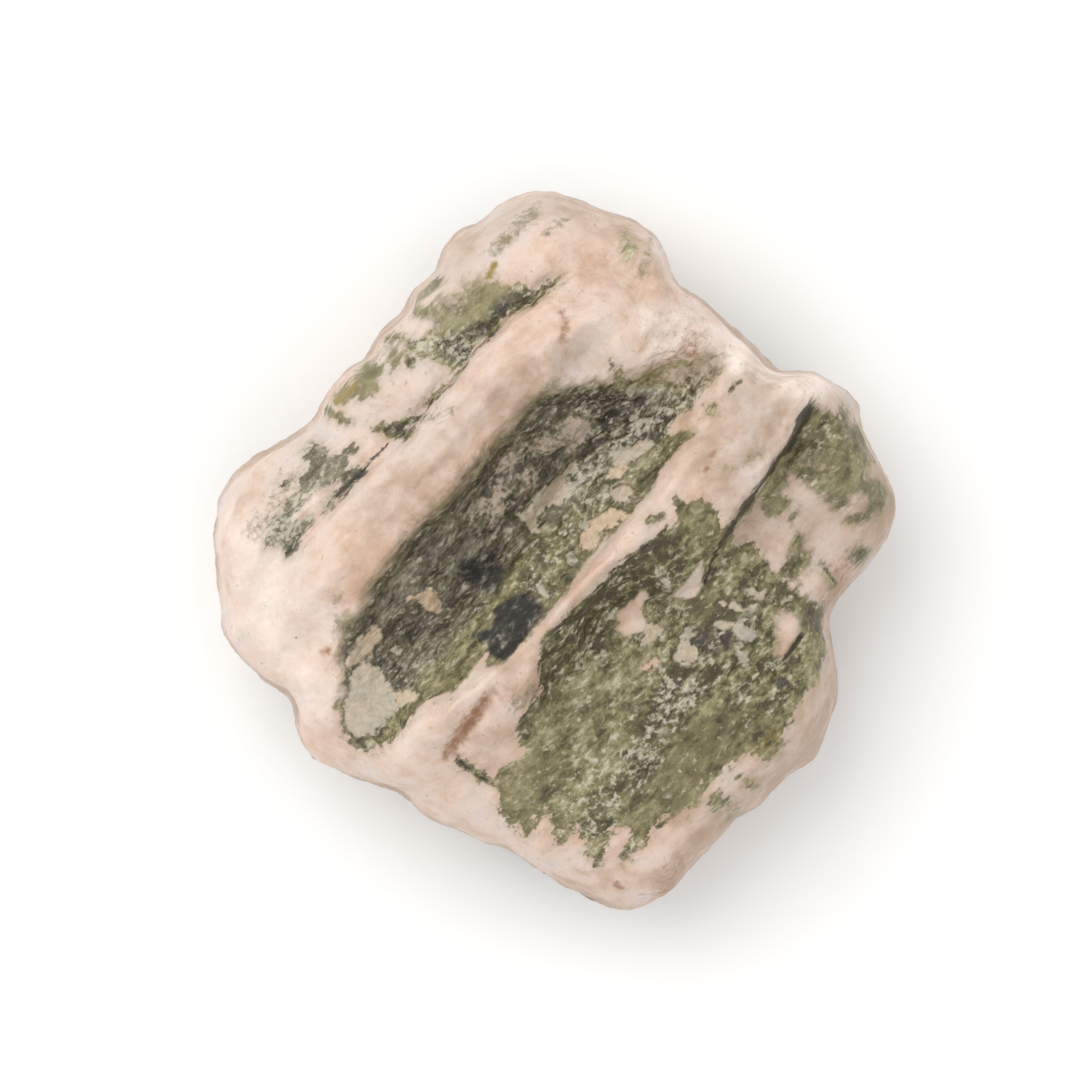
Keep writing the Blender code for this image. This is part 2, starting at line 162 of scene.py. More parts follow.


# Marks on the stone, traced one by one. Their points are pixels of the photograph.

# the green tourmaline's patches
tourmalineOutlines = {
    "terraceFaint": [
        (409, 313), (411, 304), (417, 298), (424, 291), (430, 285), (437, 280), (443, 281), (440, 288),
        (433, 295), (427, 302), (421, 308), (415, 314),
    ],
    "terrace": [
        (462, 283), (470, 286), (478, 283), (487, 281), (494, 279), (499, 284), (508, 286), (518, 285),
        (526, 287), (530, 292), (530, 299), (524, 303), (516, 308), (508, 314), (500, 321), (497, 329),
        (490, 335), (482, 338), (477, 346), (471, 353), (466, 361), (461, 368), (456, 376), (450, 383),
        (444, 391), (438, 399), (433, 405), (428, 405), (432, 399), (438, 391), (443, 384), (449, 376),
        (453, 371), (449, 367), (440, 363), (431, 360), (423, 357), (415, 352), (408, 347), (404, 341),
        (412, 341), (420, 343), (428, 340), (430, 335), (437, 330), (441, 324), (434, 320), (424, 317),
        (414, 315), (418, 309), (427, 309), (436, 308), (442, 302), (450, 297), (458, 294), (464, 293),
    ],
    "terraceFringe": [(384, 338), (392, 334), (401, 336), (406, 343), (398, 342), (390, 342)],
    "terraceTuft": [(390, 351), (397, 349), (403, 355), (400, 363), (396, 370), (391, 373), (389, 364)],
    "terraceThorn": [(401, 350), (407, 352), (411, 358), (412, 365), (407, 362), (403, 357)],
    "ledgeEnd": [
        (560, 279), (556, 286), (549, 290), (543, 294), (537, 299), (532, 304), (528, 303), (531, 298),
        (537, 294), (543, 288), (549, 283), (555, 281),
    ],
    "edgePatch": [
        (366, 363), (375, 363), (382, 366), (381, 374), (378, 382), (378, 389), (372, 392), (362, 398),
        (352, 398), (344, 402), (336, 404), (338, 396), (345, 390), (353, 388), (356, 383), (360, 374),
    ],
    "edgeThread": [(323, 408), (330, 409), (337, 414), (343, 419), (349, 422), (341, 421), (333, 416)],
    "ledgeSliver": [
        (373, 429), (380, 427), (386, 425), (392, 426), (397, 423), (405, 422), (412, 419), (418, 416),
        (424, 416), (420, 420), (412, 424), (404, 424), (398, 428), (404, 433), (410, 430), (416, 429),
        (411, 434), (403, 438), (397, 437), (390, 435), (382, 433), (377, 432),
    ],
    "lowerTerrace": [
        (308, 450), (315, 447), (324, 447), (327, 450), (322, 455), (327, 458), (333, 458), (339, 456),
        (346, 458), (347, 463), (344, 468), (350, 471), (356, 472), (360, 470), (366, 468), (362, 475),
        (357, 481), (352, 484), (349, 490), (343, 497), (337, 500), (333, 507), (327, 512), (321, 512),
        (320, 508), (326, 503), (331, 499), (338, 493), (344, 485), (341, 480), (333, 482), (325, 485),
        (318, 488), (311, 492), (305, 498), (301, 504), (299, 510), (292, 513), (290, 518), (296, 523),
        (303, 522), (309, 519), (314, 518), (312, 524), (305, 529), (300, 534), (300, 541), (302, 547),
        (296, 551), (291, 555), (286, 551), (280, 547), (273, 545), (268, 543), (265, 539), (268, 531),
        (272, 524), (276, 518), (282, 512), (280, 507), (285, 502), (292, 498), (299, 492), (303, 485),
        (302, 478), (308, 472), (313, 468), (312, 461), (306, 457),
    ],
    "lowerTerraceSpot": [(345, 449), (351, 447), (357, 449), (357, 452), (350, 453), (346, 452)],
    "lowerTerraceFringe": [(280, 486), (285, 480), (291, 482), (291, 488), (285, 490)],
    "trough": [
        (723, 354), (716, 354), (708, 355), (700, 358), (691, 360), (682, 363), (674, 367), (666, 369),
        (660, 369), (652, 371), (644, 376), (636, 380), (627, 380), (621, 374), (615, 367), (610, 363),
        (612, 371), (616, 380), (613, 387), (606, 385), (598, 383), (590, 385), (582, 389), (574, 387),
        (566, 386), (558, 385), (551, 387), (545, 391), (539, 396), (532, 404), (524, 412), (515, 422),
        (506, 432), (498, 442), (490, 451), (481, 461), (472, 470), (464, 480), (457, 490), (450, 498),
        (441, 505), (431, 514), (422, 524), (413, 534), (406, 544), (399, 554), (392, 564), (384, 572),
        (376, 579), (371, 588), (369, 598), (365, 608), (357, 615), (349, 618), (342, 621), (340, 630),
        (341, 642), (338, 654), (342, 664), (345, 672), (345, 684), (343, 696), (342, 708), (343, 720),
        (345, 732), (349, 741), (357, 746), (366, 749), (375, 748), (384, 743), (391, 740), (397, 733),
        (404, 724), (411, 715), (418, 706), (425, 699), (434, 696), (443, 692), (451, 688), (458, 684),
        (464, 678), (470, 671), (476, 662), (481, 655), (487, 649), (492, 648), (491, 655), (487, 661),
        (489, 666), (496, 664), (502, 662), (508, 656), (516, 649), (522, 643), (528, 636), (534, 628),
        (540, 621), (547, 613), (554, 605), (561, 597), (568, 590), (572, 579), (577, 572), (582, 564),
        (587, 556), (594, 549), (602, 541), (610, 533), (617, 527), (625, 521), (631, 513), (634, 506),
        (641, 499), (648, 492), (653, 485), (656, 477), (659, 469), (665, 461), (671, 456), (677, 450),
        (682, 443), (688, 438), (694, 434), (688, 433), (681, 434), (675, 437), (669, 438), (666, 432),
        (671, 424), (678, 416), (685, 409), (692, 402), (699, 394), (705, 386), (711, 379), (717, 372),
        (722, 364),
    ],
    "ridgeSliver": [(646, 521), (650, 516), (657, 515), (663, 517), (659, 520), (652, 524), (647, 527)],
    "plateauSpeck": [(735, 381), (738, 380), (736, 387), (732, 392), (730, 389)],
    "plateauDot": [(705, 407), (711, 406), (711, 411), (706, 412)],
    "slope": [
        (672, 498), (680, 503), (690, 506), (700, 503), (708, 505), (714, 512), (717, 520), (722, 528),
        (730, 522), (737, 512), (745, 503), (753, 494), (761, 484), (768, 474), (776, 462), (784, 450),
        (791, 440), (798, 428), (804, 416), (808, 404), (813, 402), (813, 412), (806, 424), (799, 438),
        (794, 450), (786, 462), (776, 476), (766, 488), (756, 500), (746, 512), (738, 524), (732, 534),
        (730, 544), (738, 546), (745, 541), (752, 545), (758, 552), (761, 560), (768, 568), (778, 573),
        (790, 575), (796, 580), (794, 590), (800, 598), (812, 601), (822, 604), (823, 616), (823, 630),
        (826, 642), (825, 652), (820, 664), (814, 676), (806, 688), (800, 700), (796, 710), (790, 720),
        (786, 730), (782, 741), (775, 749), (768, 756), (758, 757), (750, 752), (743, 755), (737, 760),
        (730, 765), (724, 768), (718, 774), (710, 780), (704, 786), (700, 794), (700, 803), (690, 807),
        (682, 812), (673, 815), (664, 817), (656, 823), (650, 829), (644, 838), (637, 846), (631, 855),
        (625, 857), (623, 851), (629, 843), (634, 834), (637, 826), (631, 821), (622, 824), (613, 826),
        (608, 833), (605, 842), (602, 850), (601, 860), (595, 863), (589, 856), (587, 846), (583, 835),
        (577, 828), (571, 832), (566, 840), (560, 845), (556, 838), (554, 826), (550, 814), (545, 806),
        (539, 813), (535, 822), (531, 830), (526, 834), (520, 829), (512, 822), (506, 816), (500, 810),
        (497, 801), (500, 792), (496, 786), (500, 778), (503, 771), (511, 766), (521, 762), (528, 756),
        (524, 746), (519, 738), (519, 725), (523, 715), (532, 703), (539, 697), (541, 690), (540, 676),
        (539, 662), (540, 650), (543, 638), (549, 628), (558, 623), (564, 616), (571, 610), (578, 603),
        (585, 596), (593, 590), (600, 583), (607, 577), (615, 570), (623, 564), (630, 556), (636, 552),
        (641, 548), (649, 545), (656, 541), (661, 536), (666, 530), (672, 526), (678, 521), (680, 514),
        (676, 507),
    ],
    "slopeFoot": [(705, 801), (712, 797), (721, 796), (727, 800), (722, 806), (713, 808), (707, 807)],
    "greenCrack": [
        (457, 757), (462, 759), (468, 764), (475, 768), (483, 774), (491, 780), (500, 785), (497, 789),
        (489, 784), (480, 779), (472, 773), (464, 767), (459, 762),
    ],
    "rimStain": [(739, 778), (746, 780), (753, 783), (757, 785), (750, 785), (743, 782)],
    "rightLobe": [
        (808, 408), (812, 402), (816, 410), (823, 414), (831, 417), (838, 413), (843, 407), (847, 412),
        (846, 420), (851, 425), (857, 424), (861, 420), (863, 430), (867, 437), (868, 446), (865, 455),
        (869, 462), (862, 466), (864, 474), (870, 481), (879, 482), (886, 485), (888, 493), (884, 500),
        (884, 508), (878, 515), (868, 520), (858, 524), (850, 521), (849, 517), (858, 515), (866, 510),
        (867, 502), (862, 495), (855, 492), (848, 497), (845, 505), (838, 511), (832, 505), (826, 498),
        (820, 490), (812, 485), (803, 482), (795, 478), (788, 470), (784, 460), (790, 445), (800, 425),
    ],
    "lobeFoot": [
        (758, 487), (766, 478), (776, 472), (785, 474), (788, 482), (782, 492), (786, 502), (787, 509),
        (780, 513), (770, 514), (763, 508), (765, 500), (762, 493),
    ],
    "lobeSpike": [(790, 520), (793, 512), (798, 506), (796, 514), (792, 522)],
    "lobePatch": [
        (781, 572), (784, 562), (789, 553), (792, 544), (797, 534), (802, 540), (803, 548), (808, 553),
        (809, 562), (803, 570), (795, 575), (787, 577),
    ],
    "lobeThread": [(823, 566), (827, 569), (831, 576), (836, 583), (831, 587), (827, 579)],
    "lobeBlot": [(853, 556), (855, 549), (862, 546), (868, 552), (863, 562), (856, 562)],
    "topOlive": [(626, 235), (630, 241), (634, 249), (631, 257), (625, 259), (623, 250)],
}

# pink feldspar left standing inside the green
feldsparIslands = {
    "boot": [
        (637, 596), (640, 590), (646, 592), (650, 598), (644, 601), (641, 609), (643, 618), (647, 625),
        (643, 631), (635, 633), (626, 635), (620, 632), (614, 628), (619, 622), (615, 615), (622, 609),
        (629, 603),
    ],
    "lowerTerraceWhite": [
        (291, 521), (296, 515), (303, 511), (310, 507), (306, 514), (299, 520), (293, 526), (289, 531),
    ],
    "wedge": [
        (701, 560), (701, 570), (699, 580), (699, 590), (694, 597), (684, 598), (672, 596), (677, 588),
        (684, 580), (690, 572),
    ],
    "oval": [
        (775, 618), (780, 614), (788, 612), (795, 615), (799, 622), (799, 631), (795, 640), (789, 645),
        (787, 652), (783, 658), (776, 656), (774, 649), (777, 642), (774, 632),
    ],
    "slab": [(637, 661), (645, 659), (654, 657), (660, 660), (656, 667), (648, 671), (640, 671)],
    "terraceStreak": [(420, 306), (430, 298), (441, 290), (452, 285), (462, 286), (455, 292), (440, 301)],
    "lobeWindow": [(850, 500), (856, 493), (862, 496), (866, 503), (861, 511), (852, 511)],
    "rightCorner": [(782, 578), (794, 578), (796, 588), (789, 588)],
}

# pale crystals and crumbs that stand on the green: tint 0 is grey-green, 1 is peach
paleCrumbs = {
    "mouthPeach": (0.62, [
        (366, 632), (373, 625), (381, 628), (383, 636), (377, 643), (373, 650), (365, 658), (356, 664),
        (348, 668), (346, 661), (352, 655), (356, 647), (360, 639),
    ]),
    "mouthGrey": (0.2, [
        (358, 669), (364, 664), (370, 659), (375, 664), (379, 671), (385, 678), (391, 684), (397, 690),
        (400, 698), (397, 705), (390, 715), (383, 726), (376, 732), (368, 735), (359, 737), (351, 733),
        (347, 724), (346, 710), (348, 696), (351, 682),
    ]),
    "mouthCorner": (0.62, [
        (396, 690), (405, 688), (412, 689), (418, 692), (417, 698), (409, 702), (401, 705), (395, 702),
    ]),
    "cream": (0.9, [
        (407, 598), (413, 594), (419, 592), (424, 588), (429, 590), (434, 590), (437, 596), (441, 603),
        (443, 611), (437, 612), (430, 609), (423, 606), (420, 602), (414, 600),
    ]),
    "ledgeCrumb": (0.45, [
        (513, 515), (519, 511), (526, 509), (530, 503), (534, 498), (539, 492), (545, 486), (551, 481),
        (557, 477), (562, 476), (565, 470), (571, 466), (577, 464), (579, 470), (576, 475), (570, 476),
        (568, 484), (572, 490), (571, 497), (565, 501), (560, 507), (553, 505), (546, 508), (541, 512),
        (537, 516), (537, 523), (540, 529), (535, 534), (531, 533), (528, 527), (524, 522), (519, 517),
    ]),
    "bladeTop": (0.25, [
        (609, 463), (612, 456), (618, 451), (624, 448), (630, 446), (637, 443), (644, 441), (650, 440),
        (655, 444), (654, 450), (648, 454), (641, 457), (636, 462), (630, 465), (621, 466), (614, 468),
    ]),
    "bladeFoot": (0.78, [
        (610, 470), (616, 466), (623, 464), (629, 465), (624, 472), (619, 478), (613, 478), (610, 474),
    ]),
    "bladeEdge": (0.02, [
        (573, 489), (579, 480), (586, 475), (593, 470), (600, 465), (606, 459), (612, 453), (619, 449),
        (612, 460), (604, 466), (597, 472), (589, 477), (581, 483),
    ]),
    "upperChips": (0.08, [
        (626, 411), (630, 414), (635, 418), (641, 419), (650, 418), (656, 420), (648, 424), (641, 431),
        (635, 436), (636, 428), (631, 420),
    ]),
    "peachSlab": (0.88, [
        (584, 530), (589, 525), (594, 519), (600, 515), (607, 511), (614, 508), (620, 509), (626, 513),
        (629, 517), (625, 521), (620, 524), (614, 525), (609, 528), (604, 531), (600, 537), (597, 543),
        (594, 549), (589, 552), (583, 550), (580, 544), (579, 538), (581, 533),
    ]),
    "wallChip": (0.5, [
        (611, 493), (618, 489), (625, 487), (630, 489), (634, 493), (636, 497), (631, 500), (627, 505),
        (622, 503), (618, 499), (613, 498),
    ]),
    "wallStrip": (0.3, [(587, 503), (592, 498), (598, 495), (604, 491), (608, 488), (606, 494), (597, 502)]),
    "whiteSliver": (0.2, [(520, 555), (524, 549), (531, 544), (540, 540), (533, 546), (526, 552)]),
    "blackNeighbour": (0.1, [(537, 588), (543, 586), (548, 589), (551, 595), (546, 597), (540, 594)]),
    "wallCrystal": (0.1, [(565, 557), (570, 551), (574, 556), (577, 562), (572, 566), (567, 563)]),
    "wallSpark": (0.0, [(578, 524), (583, 521), (588, 523), (590, 528), (584, 530), (580, 529)]),
    "mouthChip": (0.1, [(391, 652), (395, 645), (400, 648), (398, 654)]),
    "mint": (0.0, [
        (735, 622), (741, 621), (747, 624), (753, 627), (757, 632), (756, 638), (751, 641), (745, 642),
        (739, 640), (735, 637), (732, 633), (733, 627),
    ]),
    "slopeBlade": (0.3, [
        (720, 602), (727, 600), (734, 602), (741, 606), (748, 607), (755, 603), (758, 606), (757, 612),
        (750, 613), (743, 612), (736, 612), (728, 609), (722, 607),
    ]),
    "slopeChip": (0.45, [
        (741, 591), (748, 589), (754, 588), (760, 592), (764, 595), (759, 599), (753, 597), (747, 594),
    ]),
    "greyBlade": (0.3, [
        (705, 624), (712, 622), (720, 619), (728, 621), (735, 621), (734, 626), (727, 629), (719, 630),
        (712, 628),
    ]),
    "greyBladeEnd": (0.3, [(742, 619), (750, 616), (758, 618), (760, 621), (752, 621), (745, 622)]),
    "tooth": (0.3, [
        (673, 656), (677, 650), (680, 644), (684, 640), (690, 643), (695, 649), (697, 655), (692, 660),
        (684, 661), (677, 661),
    ]),
    "toothTip": (0.2, [(681, 638), (685, 632), (690, 628), (694, 627), (692, 633), (688, 638)]),
    "bootShade": (0.5, [
        (645, 624), (652, 622), (658, 625), (658, 632), (654, 640), (648, 644), (642, 645), (639, 638),
        (644, 631),
    ]),
    "midCrumb": (0.0, [(736, 648), (741, 650), (746, 654), (747, 660), (741, 661), (737, 656)]),
    "ridgeCrumb": (0.05, [(661, 580), (668, 580), (673, 585), (670, 591), (664, 589)]),
}

# black tourmaline
blackCrystals = {
    "upper": [
        (458, 567), (461, 559), (467, 557), (474, 555), (480, 557), (485, 552), (491, 551), (496, 556),
        (500, 563), (504, 571), (502, 578), (497, 585), (490, 592), (484, 591), (477, 588), (470, 584),
        (463, 580), (459, 575),
    ],
    "lower": [
        (510, 597), (518, 592), (528, 593), (537, 598), (543, 606), (542, 616), (536, 627), (528, 637),
        (521, 646), (513, 654), (504, 663), (497, 659), (491, 653), (488, 644), (480, 642), (475, 635),
        (484, 630), (491, 628), (493, 620), (494, 612), (499, 606), (504, 601),
    ],
    "speck": [(446, 551), (451, 549), (457, 551), (455, 556), (448, 557)],
}

# Broad washes over named places. Each gives the channels that it changes the value that it brings them
# to, how softly, in mm, and the width of a stroke, in mm; without a width, the place is an outline.
washes = {
    # how the tourmaline's border runs
    "rim": ({"soft": (0.6, 1.2, 4.0), "ragged": (0.6, 1.0, 4.0)}, [
        (340, 690), (345, 640), (372, 585), (400, 553), (440, 505), (480, 462), (515, 422), (545, 392),
        (560, 385),
    ]),
    "ridgeCrisp": ({"ragged": (0.2, 0.6, 2.4)}, [
        (425, 699), (470, 671), (508, 656), (554, 605), (605, 543), (648, 492), (682, 443),
    ]),
    "lobeSoft": ({"soft": (0.35, 2.0, 9.0)}, [(840, 560), (850, 500), (845, 440)]),
    "topSoft": ({"soft": (0.2, 1.0, 3.0)}, [(600, 262), (640, 245)]),
    "terraceSoft": ({"soft": (0.2, 1.5, 5.0)}, [(340, 400), (400, 335), (450, 285)]),
    "bottomRagged": ({"ragged": (0.9, 2.0, 6.0)}, [(540, 830), (620, 850), (700, 800)]),
    "bootCrisp": ({"ragged": (0.15, 0.4, 3.6)}, [(632, 628), (644, 600)]),
    "wedgeCrisp": ({"ragged": (0.15, 0.4, 2.6)}, [(682, 594), (698, 566)]),
    "ovalEdge": ({"soft": (0.4, 0.5, 3.0), "ragged": (0.25, 0.4, 3.0)}, [(781, 648), (788, 622)]),
    "lobeWindowSoft": ({"soft": (0.35, 0.8, 3.0)}, [(800, 540), (830, 520), (856, 500)]),
    # the tourmaline's tone, colour, grain and veils
    "terraceOlive": ({"tone": (0.56, 1.0, 3.2)}, [(425, 315), (460, 305), (490, 290)]),
    "terraceDark": ({"tone": (0.2, 0.7)}, [
        (470, 338), (478, 322), (490, 310), (500, 296), (508, 287), (528, 287), (530, 298), (505, 318),
        (492, 335), (478, 340),
    ]),
    "terraceGranular": ({"grainy": (1.0, 1.0, 2.6)}, [(425, 352), (465, 345), (515, 298)]),
    "terraceGrey": ({"tone": (0.55, 0.8, 2.2)}, [(415, 350), (440, 352), (468, 345)]),
    "edgeGreen": ({"tone": (0.45, 0.6, 2.4)}, [(345, 398), (375, 370)]),
    "lower": ({"tone": (0.28, 1.0, 4.0), "grainy": (0.6, 1.0, 5.0)}, [(280, 530), (320, 480), (345, 465)]),
    "troughGrey": ({"olive": (0.0, 1.0)}, [
        (342, 650), (372, 585), (400, 553), (440, 505), (480, 462), (515, 422), (545, 392), (575, 390),
        (620, 386), (690, 384), (660, 430), (600, 470), (560, 515), (515, 560), (490, 600), (450, 645),
        (400, 700), (360, 745), (340, 700),
    ]),
    "terraceGreyish": ({"olive": (0.35, 0.8)}, [
        (400, 335), (440, 335), (475, 325), (500, 295), (530, 288), (530, 300), (495, 335), (465, 365),
        (440, 370), (405, 350),
    ]),
    "lowerBand": ({"olive": (0.2, 1.0, 5.0), "sheer": (0.12, 1.0, 5.0)}, [
        (275, 535), (320, 480), (345, 465),
    ]),
    "terraceSheer": ({"sheer": (0.35, 1.0, 3.5)}, [(390, 345), (430, 300), (500, 280)]),
    "lobeSheer": ({"sheer": (0.25, 1.5, 7.0)}, [(770, 500), (840, 500), (860, 430)]),
    "rimSheer": ({"sheer": (0.4, 0.8, 1.4)}, [
        (352, 622), (372, 585), (400, 553), (440, 505), (480, 461), (515, 421), (545, 391), (600, 385),
    ]),
    "cornerSheer": ({"sheer": (0.35, 0.9, 2.2)}, [(635, 380), (680, 366), (718, 357)]),
    "lowerEndSheer": ({"sheer": (0.08, 0.8, 2.4)}, [(270, 542), (290, 522), (312, 512)]),
    "faintSheer": ({"sheer": (0.3, 0.8, 2.0)}, [(412, 308), (440, 284)]),
    "rimHalo": ({"halo": (0.55, 1.0, 2.0)}, [(350, 620), (400, 553), (480, 462), (545, 392), (600, 385)]),
    "terraceEven": ({"grainy": (0.12, 0.8, 3.2), "calm": (0.25, 0.8, 3.0)}, [
        (415, 310), (450, 310), (490, 290),
    ]),
    "edgeEven": ({"grainy": (0.15, 0.8, 3.0), "calm": (0.5, 0.6, 2.4)}, [(340, 400), (375, 370)]),
    "lobeEven": ({"grainy": (0.35, 1.2), "calm": (0.25, 1.2)}, [
        (775, 480), (805, 420), (850, 400), (880, 470), (890, 510), (840, 530), (790, 520), (755, 510),
    ]),
    "sliver": ({"olive": (0.25, 0.5, 1.0), "tone": (0.3, 0.5, 1.0)}, [(378, 430), (400, 430), (420, 418)]),
    "topTone": ({"tone": (0.6, 0.5, 1.6)}, [(626, 255), (630, 240)]),
    # the tourmaline darker along the trough's rim: its own dark tone, and painted shade where the wall faces
    # away from the light
    "rimDarkAndShade": ({"tone": (0.3, 1.1, 2.3)}, [
        (377, 604), (392, 582), (412, 556), (436, 530), (462, 502), (485, 478), (505, 455), (525, 432),
        (548, 408), (575, 396),
    ]),
    "headDark": ({"tone": (0.22, 0.8)}, [
        (580, 392), (600, 388), (622, 394), (645, 398), (668, 402), (655, 412), (640, 410), (634, 424),
        (628, 440), (612, 450), (600, 460), (590, 470), (578, 475), (575, 462), (583, 445), (590, 425),
        (582, 405),
    ]),
    "headGrainy": ({"grainy": (1.0, 0.8)}, [
        (575, 388), (620, 384), (690, 380), (700, 400), (660, 430), (630, 445), (590, 480), (570, 475),
        (585, 430),
    ]),
    "cornerOlive": ({"olive": (1.2, 0.8)}, [
        (640, 380), (660, 370), (700, 357), (722, 354), (722, 368), (700, 375), (690, 388), (660, 384),
    ]),
    "cornerTone": ({"tone": (0.62, 0.8, 3.0)}, [(650, 378), (690, 368), (718, 358)]),
    # feldspar showing through on the trough's wall, in a colour painted dimmer for the shade there
    "wallTaupe": ({"veil": (0.85, 0.7)}, [
        (562, 424), (572, 418), (585, 417), (592, 424), (588, 436), (582, 446), (572, 452), (560, 455),
        (556, 444), (560, 434),
    ]),
    "wallTaupeLow": ({"veil": (0.5, 0.8)}, [
        (470, 505), (485, 492), (500, 480), (518, 470), (538, 468), (540, 480), (528, 492), (515, 505),
        (500, 522), (485, 535), (470, 540), (465, 525),
    ]),
    "wallTaupeMid": ({"veil": (0.5, 1.0, 2.0)}, [(500, 470), (530, 450), (560, 440)]),
    "floorDark": ({"tone": (0.33, 1.2, 5.0)}, [(390, 660), (430, 620), (470, 600)]),
    "floorGrey": ({"tone": (0.4, 1.0, 3.0)}, [(400, 600), (440, 570), (500, 530)]),
    "floorStriped": ({"grainy": (0.5, 1.0, 6.0)}, [(390, 660), (430, 620), (470, 580)]),
    "wallPale": ({"tone": (0.42, 0.9, 2.6)}, [
        (505, 602), (535, 570), (570, 532), (600, 500), (640, 462), (670, 425), (705, 375),
    ]),
    "wallOlive": ({"olive": (0.9, 0.8, 1.5)}, [
        (420, 700), (460, 676), (490, 640), (520, 590), (575, 575), (610, 530), (650, 480), (680, 440),
    ]),
    "wallEdge": ({"tone": (0.36, 0.5, 0.9)}, [
        (420, 700), (462, 672), (500, 645), (540, 612), (578, 568), (612, 528), (650, 482), (680, 440),
    ]),
    "wallGranules": ({"grainy": (0.7, 1.0, 3.0)}, [(530, 590), (560, 560), (590, 530)]),
    # painted shade: the tourmaline very dark on the steep slope just under the thin ridge's crest
    "ridgeFootShade": ({"tone": (0.1, 1.0, 3.8)}, [
        (550, 680), (562, 650), (580, 620), (605, 597), (630, 575), (655, 558),
    ]),
    "slopeGrainy": ({"grainy": (0.95, 1.5)}, [
        (540, 690), (545, 640), (600, 575), (660, 545), (720, 560), (780, 590), (800, 640), (790, 700),
        (740, 740), (700, 700), (640, 700), (590, 690),
    ]),
    "slopeMid": ({"tone": (0.33, 2.0)}, [
        (640, 600), (700, 590), (780, 600), (800, 650), (780, 720), (700, 730), (650, 700),
    ]),
    "slopeOlive": ({"olive": (1.1, 1.2, 3.4)}, [(560, 700), (600, 690), (640, 660)]),
    "slopeOliveTone": ({"tone": (0.47, 1.2, 3.4), "grainy": (0.65, 1.2, 3.2)}, [
        (570, 705), (600, 690), (635, 670),
    ]),
    "footOlive": ({"olive": (1.1, 1.2, 3.0)}, [(660, 800), (680, 760), (720, 740)]),
    "footSmooth": ({"grainy": (0.4, 1.2, 4.2)}, [(650, 810), (690, 760), (720, 730)]),
    "footTone": ({"tone": (0.38, 1.2, 3.6)}, [(650, 810), (690, 770), (720, 730)]),
    "leftFoot": ({"olive": (1.2, 1.2), "tone": (0.45, 1.2), "grainy": (0.4, 1.2)}, [
        (498, 785), (510, 766), (540, 750), (560, 780), (545, 805), (526, 832), (500, 810),
    ]),
    "fibreFan": ({"tone": (0.5, 0.9, 2.6), "grainy": (0.6, 0.9, 3.0)}, [(572, 800), (590, 778), (610, 756)]),
    "clusterDark": ({"tone": (0.2, 0.6, 2.6)}, [(680, 684), (676, 702)]),
    "streamTone": ({"tone": (0.3, 0.8, 1.8)}, [(670, 712), (648, 750), (620, 795), (598, 824)]),
    "hollowDark": ({"tone": (0.0, 0.6)}, [
        (688, 634), (697, 625), (712, 626), (728, 634), (727, 646), (716, 653), (700, 652), (692, 646),
    ]),
    "hollowGrey": ({"olive": (0.25, 0.6, 1.8)}, [(692, 640), (722, 642)]),
    "slopeHollow": ({"tone": (0.1, 0.6, 1.6)}, [(700, 607), (726, 610)]),
    "toothFoot": ({"tone": (0.0, 0.4, 0.8)}, [(683, 664), (696, 667)]),
    "midDark": ({"tone": (0.1, 0.5)}, [
        (636, 722), (641, 715), (650, 712), (657, 717), (660, 726), (656, 736), (648, 740), (640, 736),
    ]),
    "streamDark": ({"tone": (0.16, 0.7, 1.3)}, [(617, 800), (632, 784), (648, 768)]),
    "ovalDark": ({"tone": (0.1, 0.5)}, [
        (700, 630), (706, 624), (714, 626), (718, 636), (715, 648), (707, 656), (700, 648), (697, 638),
    ]),
    "cornerDark": ({"tone": (0.2, 0.6)}, [
        (803, 603), (812, 602), (823, 604), (824, 618), (822, 630), (812, 630), (804, 620),
    ]),
    "footSpot": ({"tone": (0.12, 0.4, 0.8)}, [(545, 798), (549, 792)]),
    "leftSpot": ({"tone": (0.2, 0.5, 0.9)}, [(524, 733), (528, 718)]),
    "lobeTone": ({"tone": (0.39, 1.5, 6.0)}, [(800, 480), (840, 460), (850, 430)]),
    "lobeSparks": ({"grainy": (0.6, 1.0, 3.0)}, [(815, 455), (830, 430)]),
    "lobeFootTone": ({"tone": (0.42, 1.2, 3.0)}, [(765, 508), (785, 475)]),
    "lobeFootOlive": ({"olive": (1.2, 1.2, 3.0)}, [(770, 505), (780, 475)]),
    "wallUpperDark": ({"tone": (0.18, 0.6, 1.6)}, [(652, 434), (678, 406)]),
    "wallLowDark": ({"tone": (0.15, 0.6, 1.6)}, [(488, 520), (512, 500)]),
    "lowerEnd": ({"tone": (0.54, 0.7, 2.4), "olive": (0.3, 0.7, 2.4)}, [(270, 540), (290, 520), (305, 502)]),
    "lowerTone": ({"tone": (0.46, 0.7, 2.2), "calm": (0.3, 0.8, 2.6)}, [(345, 462), (325, 475), (305, 500)]),
    # pale granules strewn over the tourmaline
    "clusterFrost": ({"frost": (0.62, 0.5)}, [
        (664, 680), (672, 672), (684, 668), (696, 671), (704, 680), (702, 692), (696, 704), (688, 712),
        (676, 716), (664, 712), (657, 702), (656, 690),
    ]),
    "streamFrost": ({"frost": (0.42, 0.7, 2.2)}, [
        (676, 706), (662, 724), (648, 752), (632, 778), (616, 800), (596, 824),
    ]),
    "fanFrost": ({"frost": (0.3, 1.4)}, [
        (552, 780), (580, 745), (610, 735), (640, 745), (640, 790), (610, 830), (575, 830), (555, 812),
    ]),
    "slopeFrost": ({"frost": (0.06, 1.2, 3.4)}, [(690, 660), (720, 630), (750, 600)]),
    "slopeHollowGrain": ({"frost": (-0.5, 0.4, 1.8), "grainy": (0.1, 0.5, 1.8)}, [(700, 607), (726, 610)]),
    "ridgeFrost": ({"frost": (0.08, 1.0, 2.4)}, [(556, 650), (590, 610), (640, 572)]),
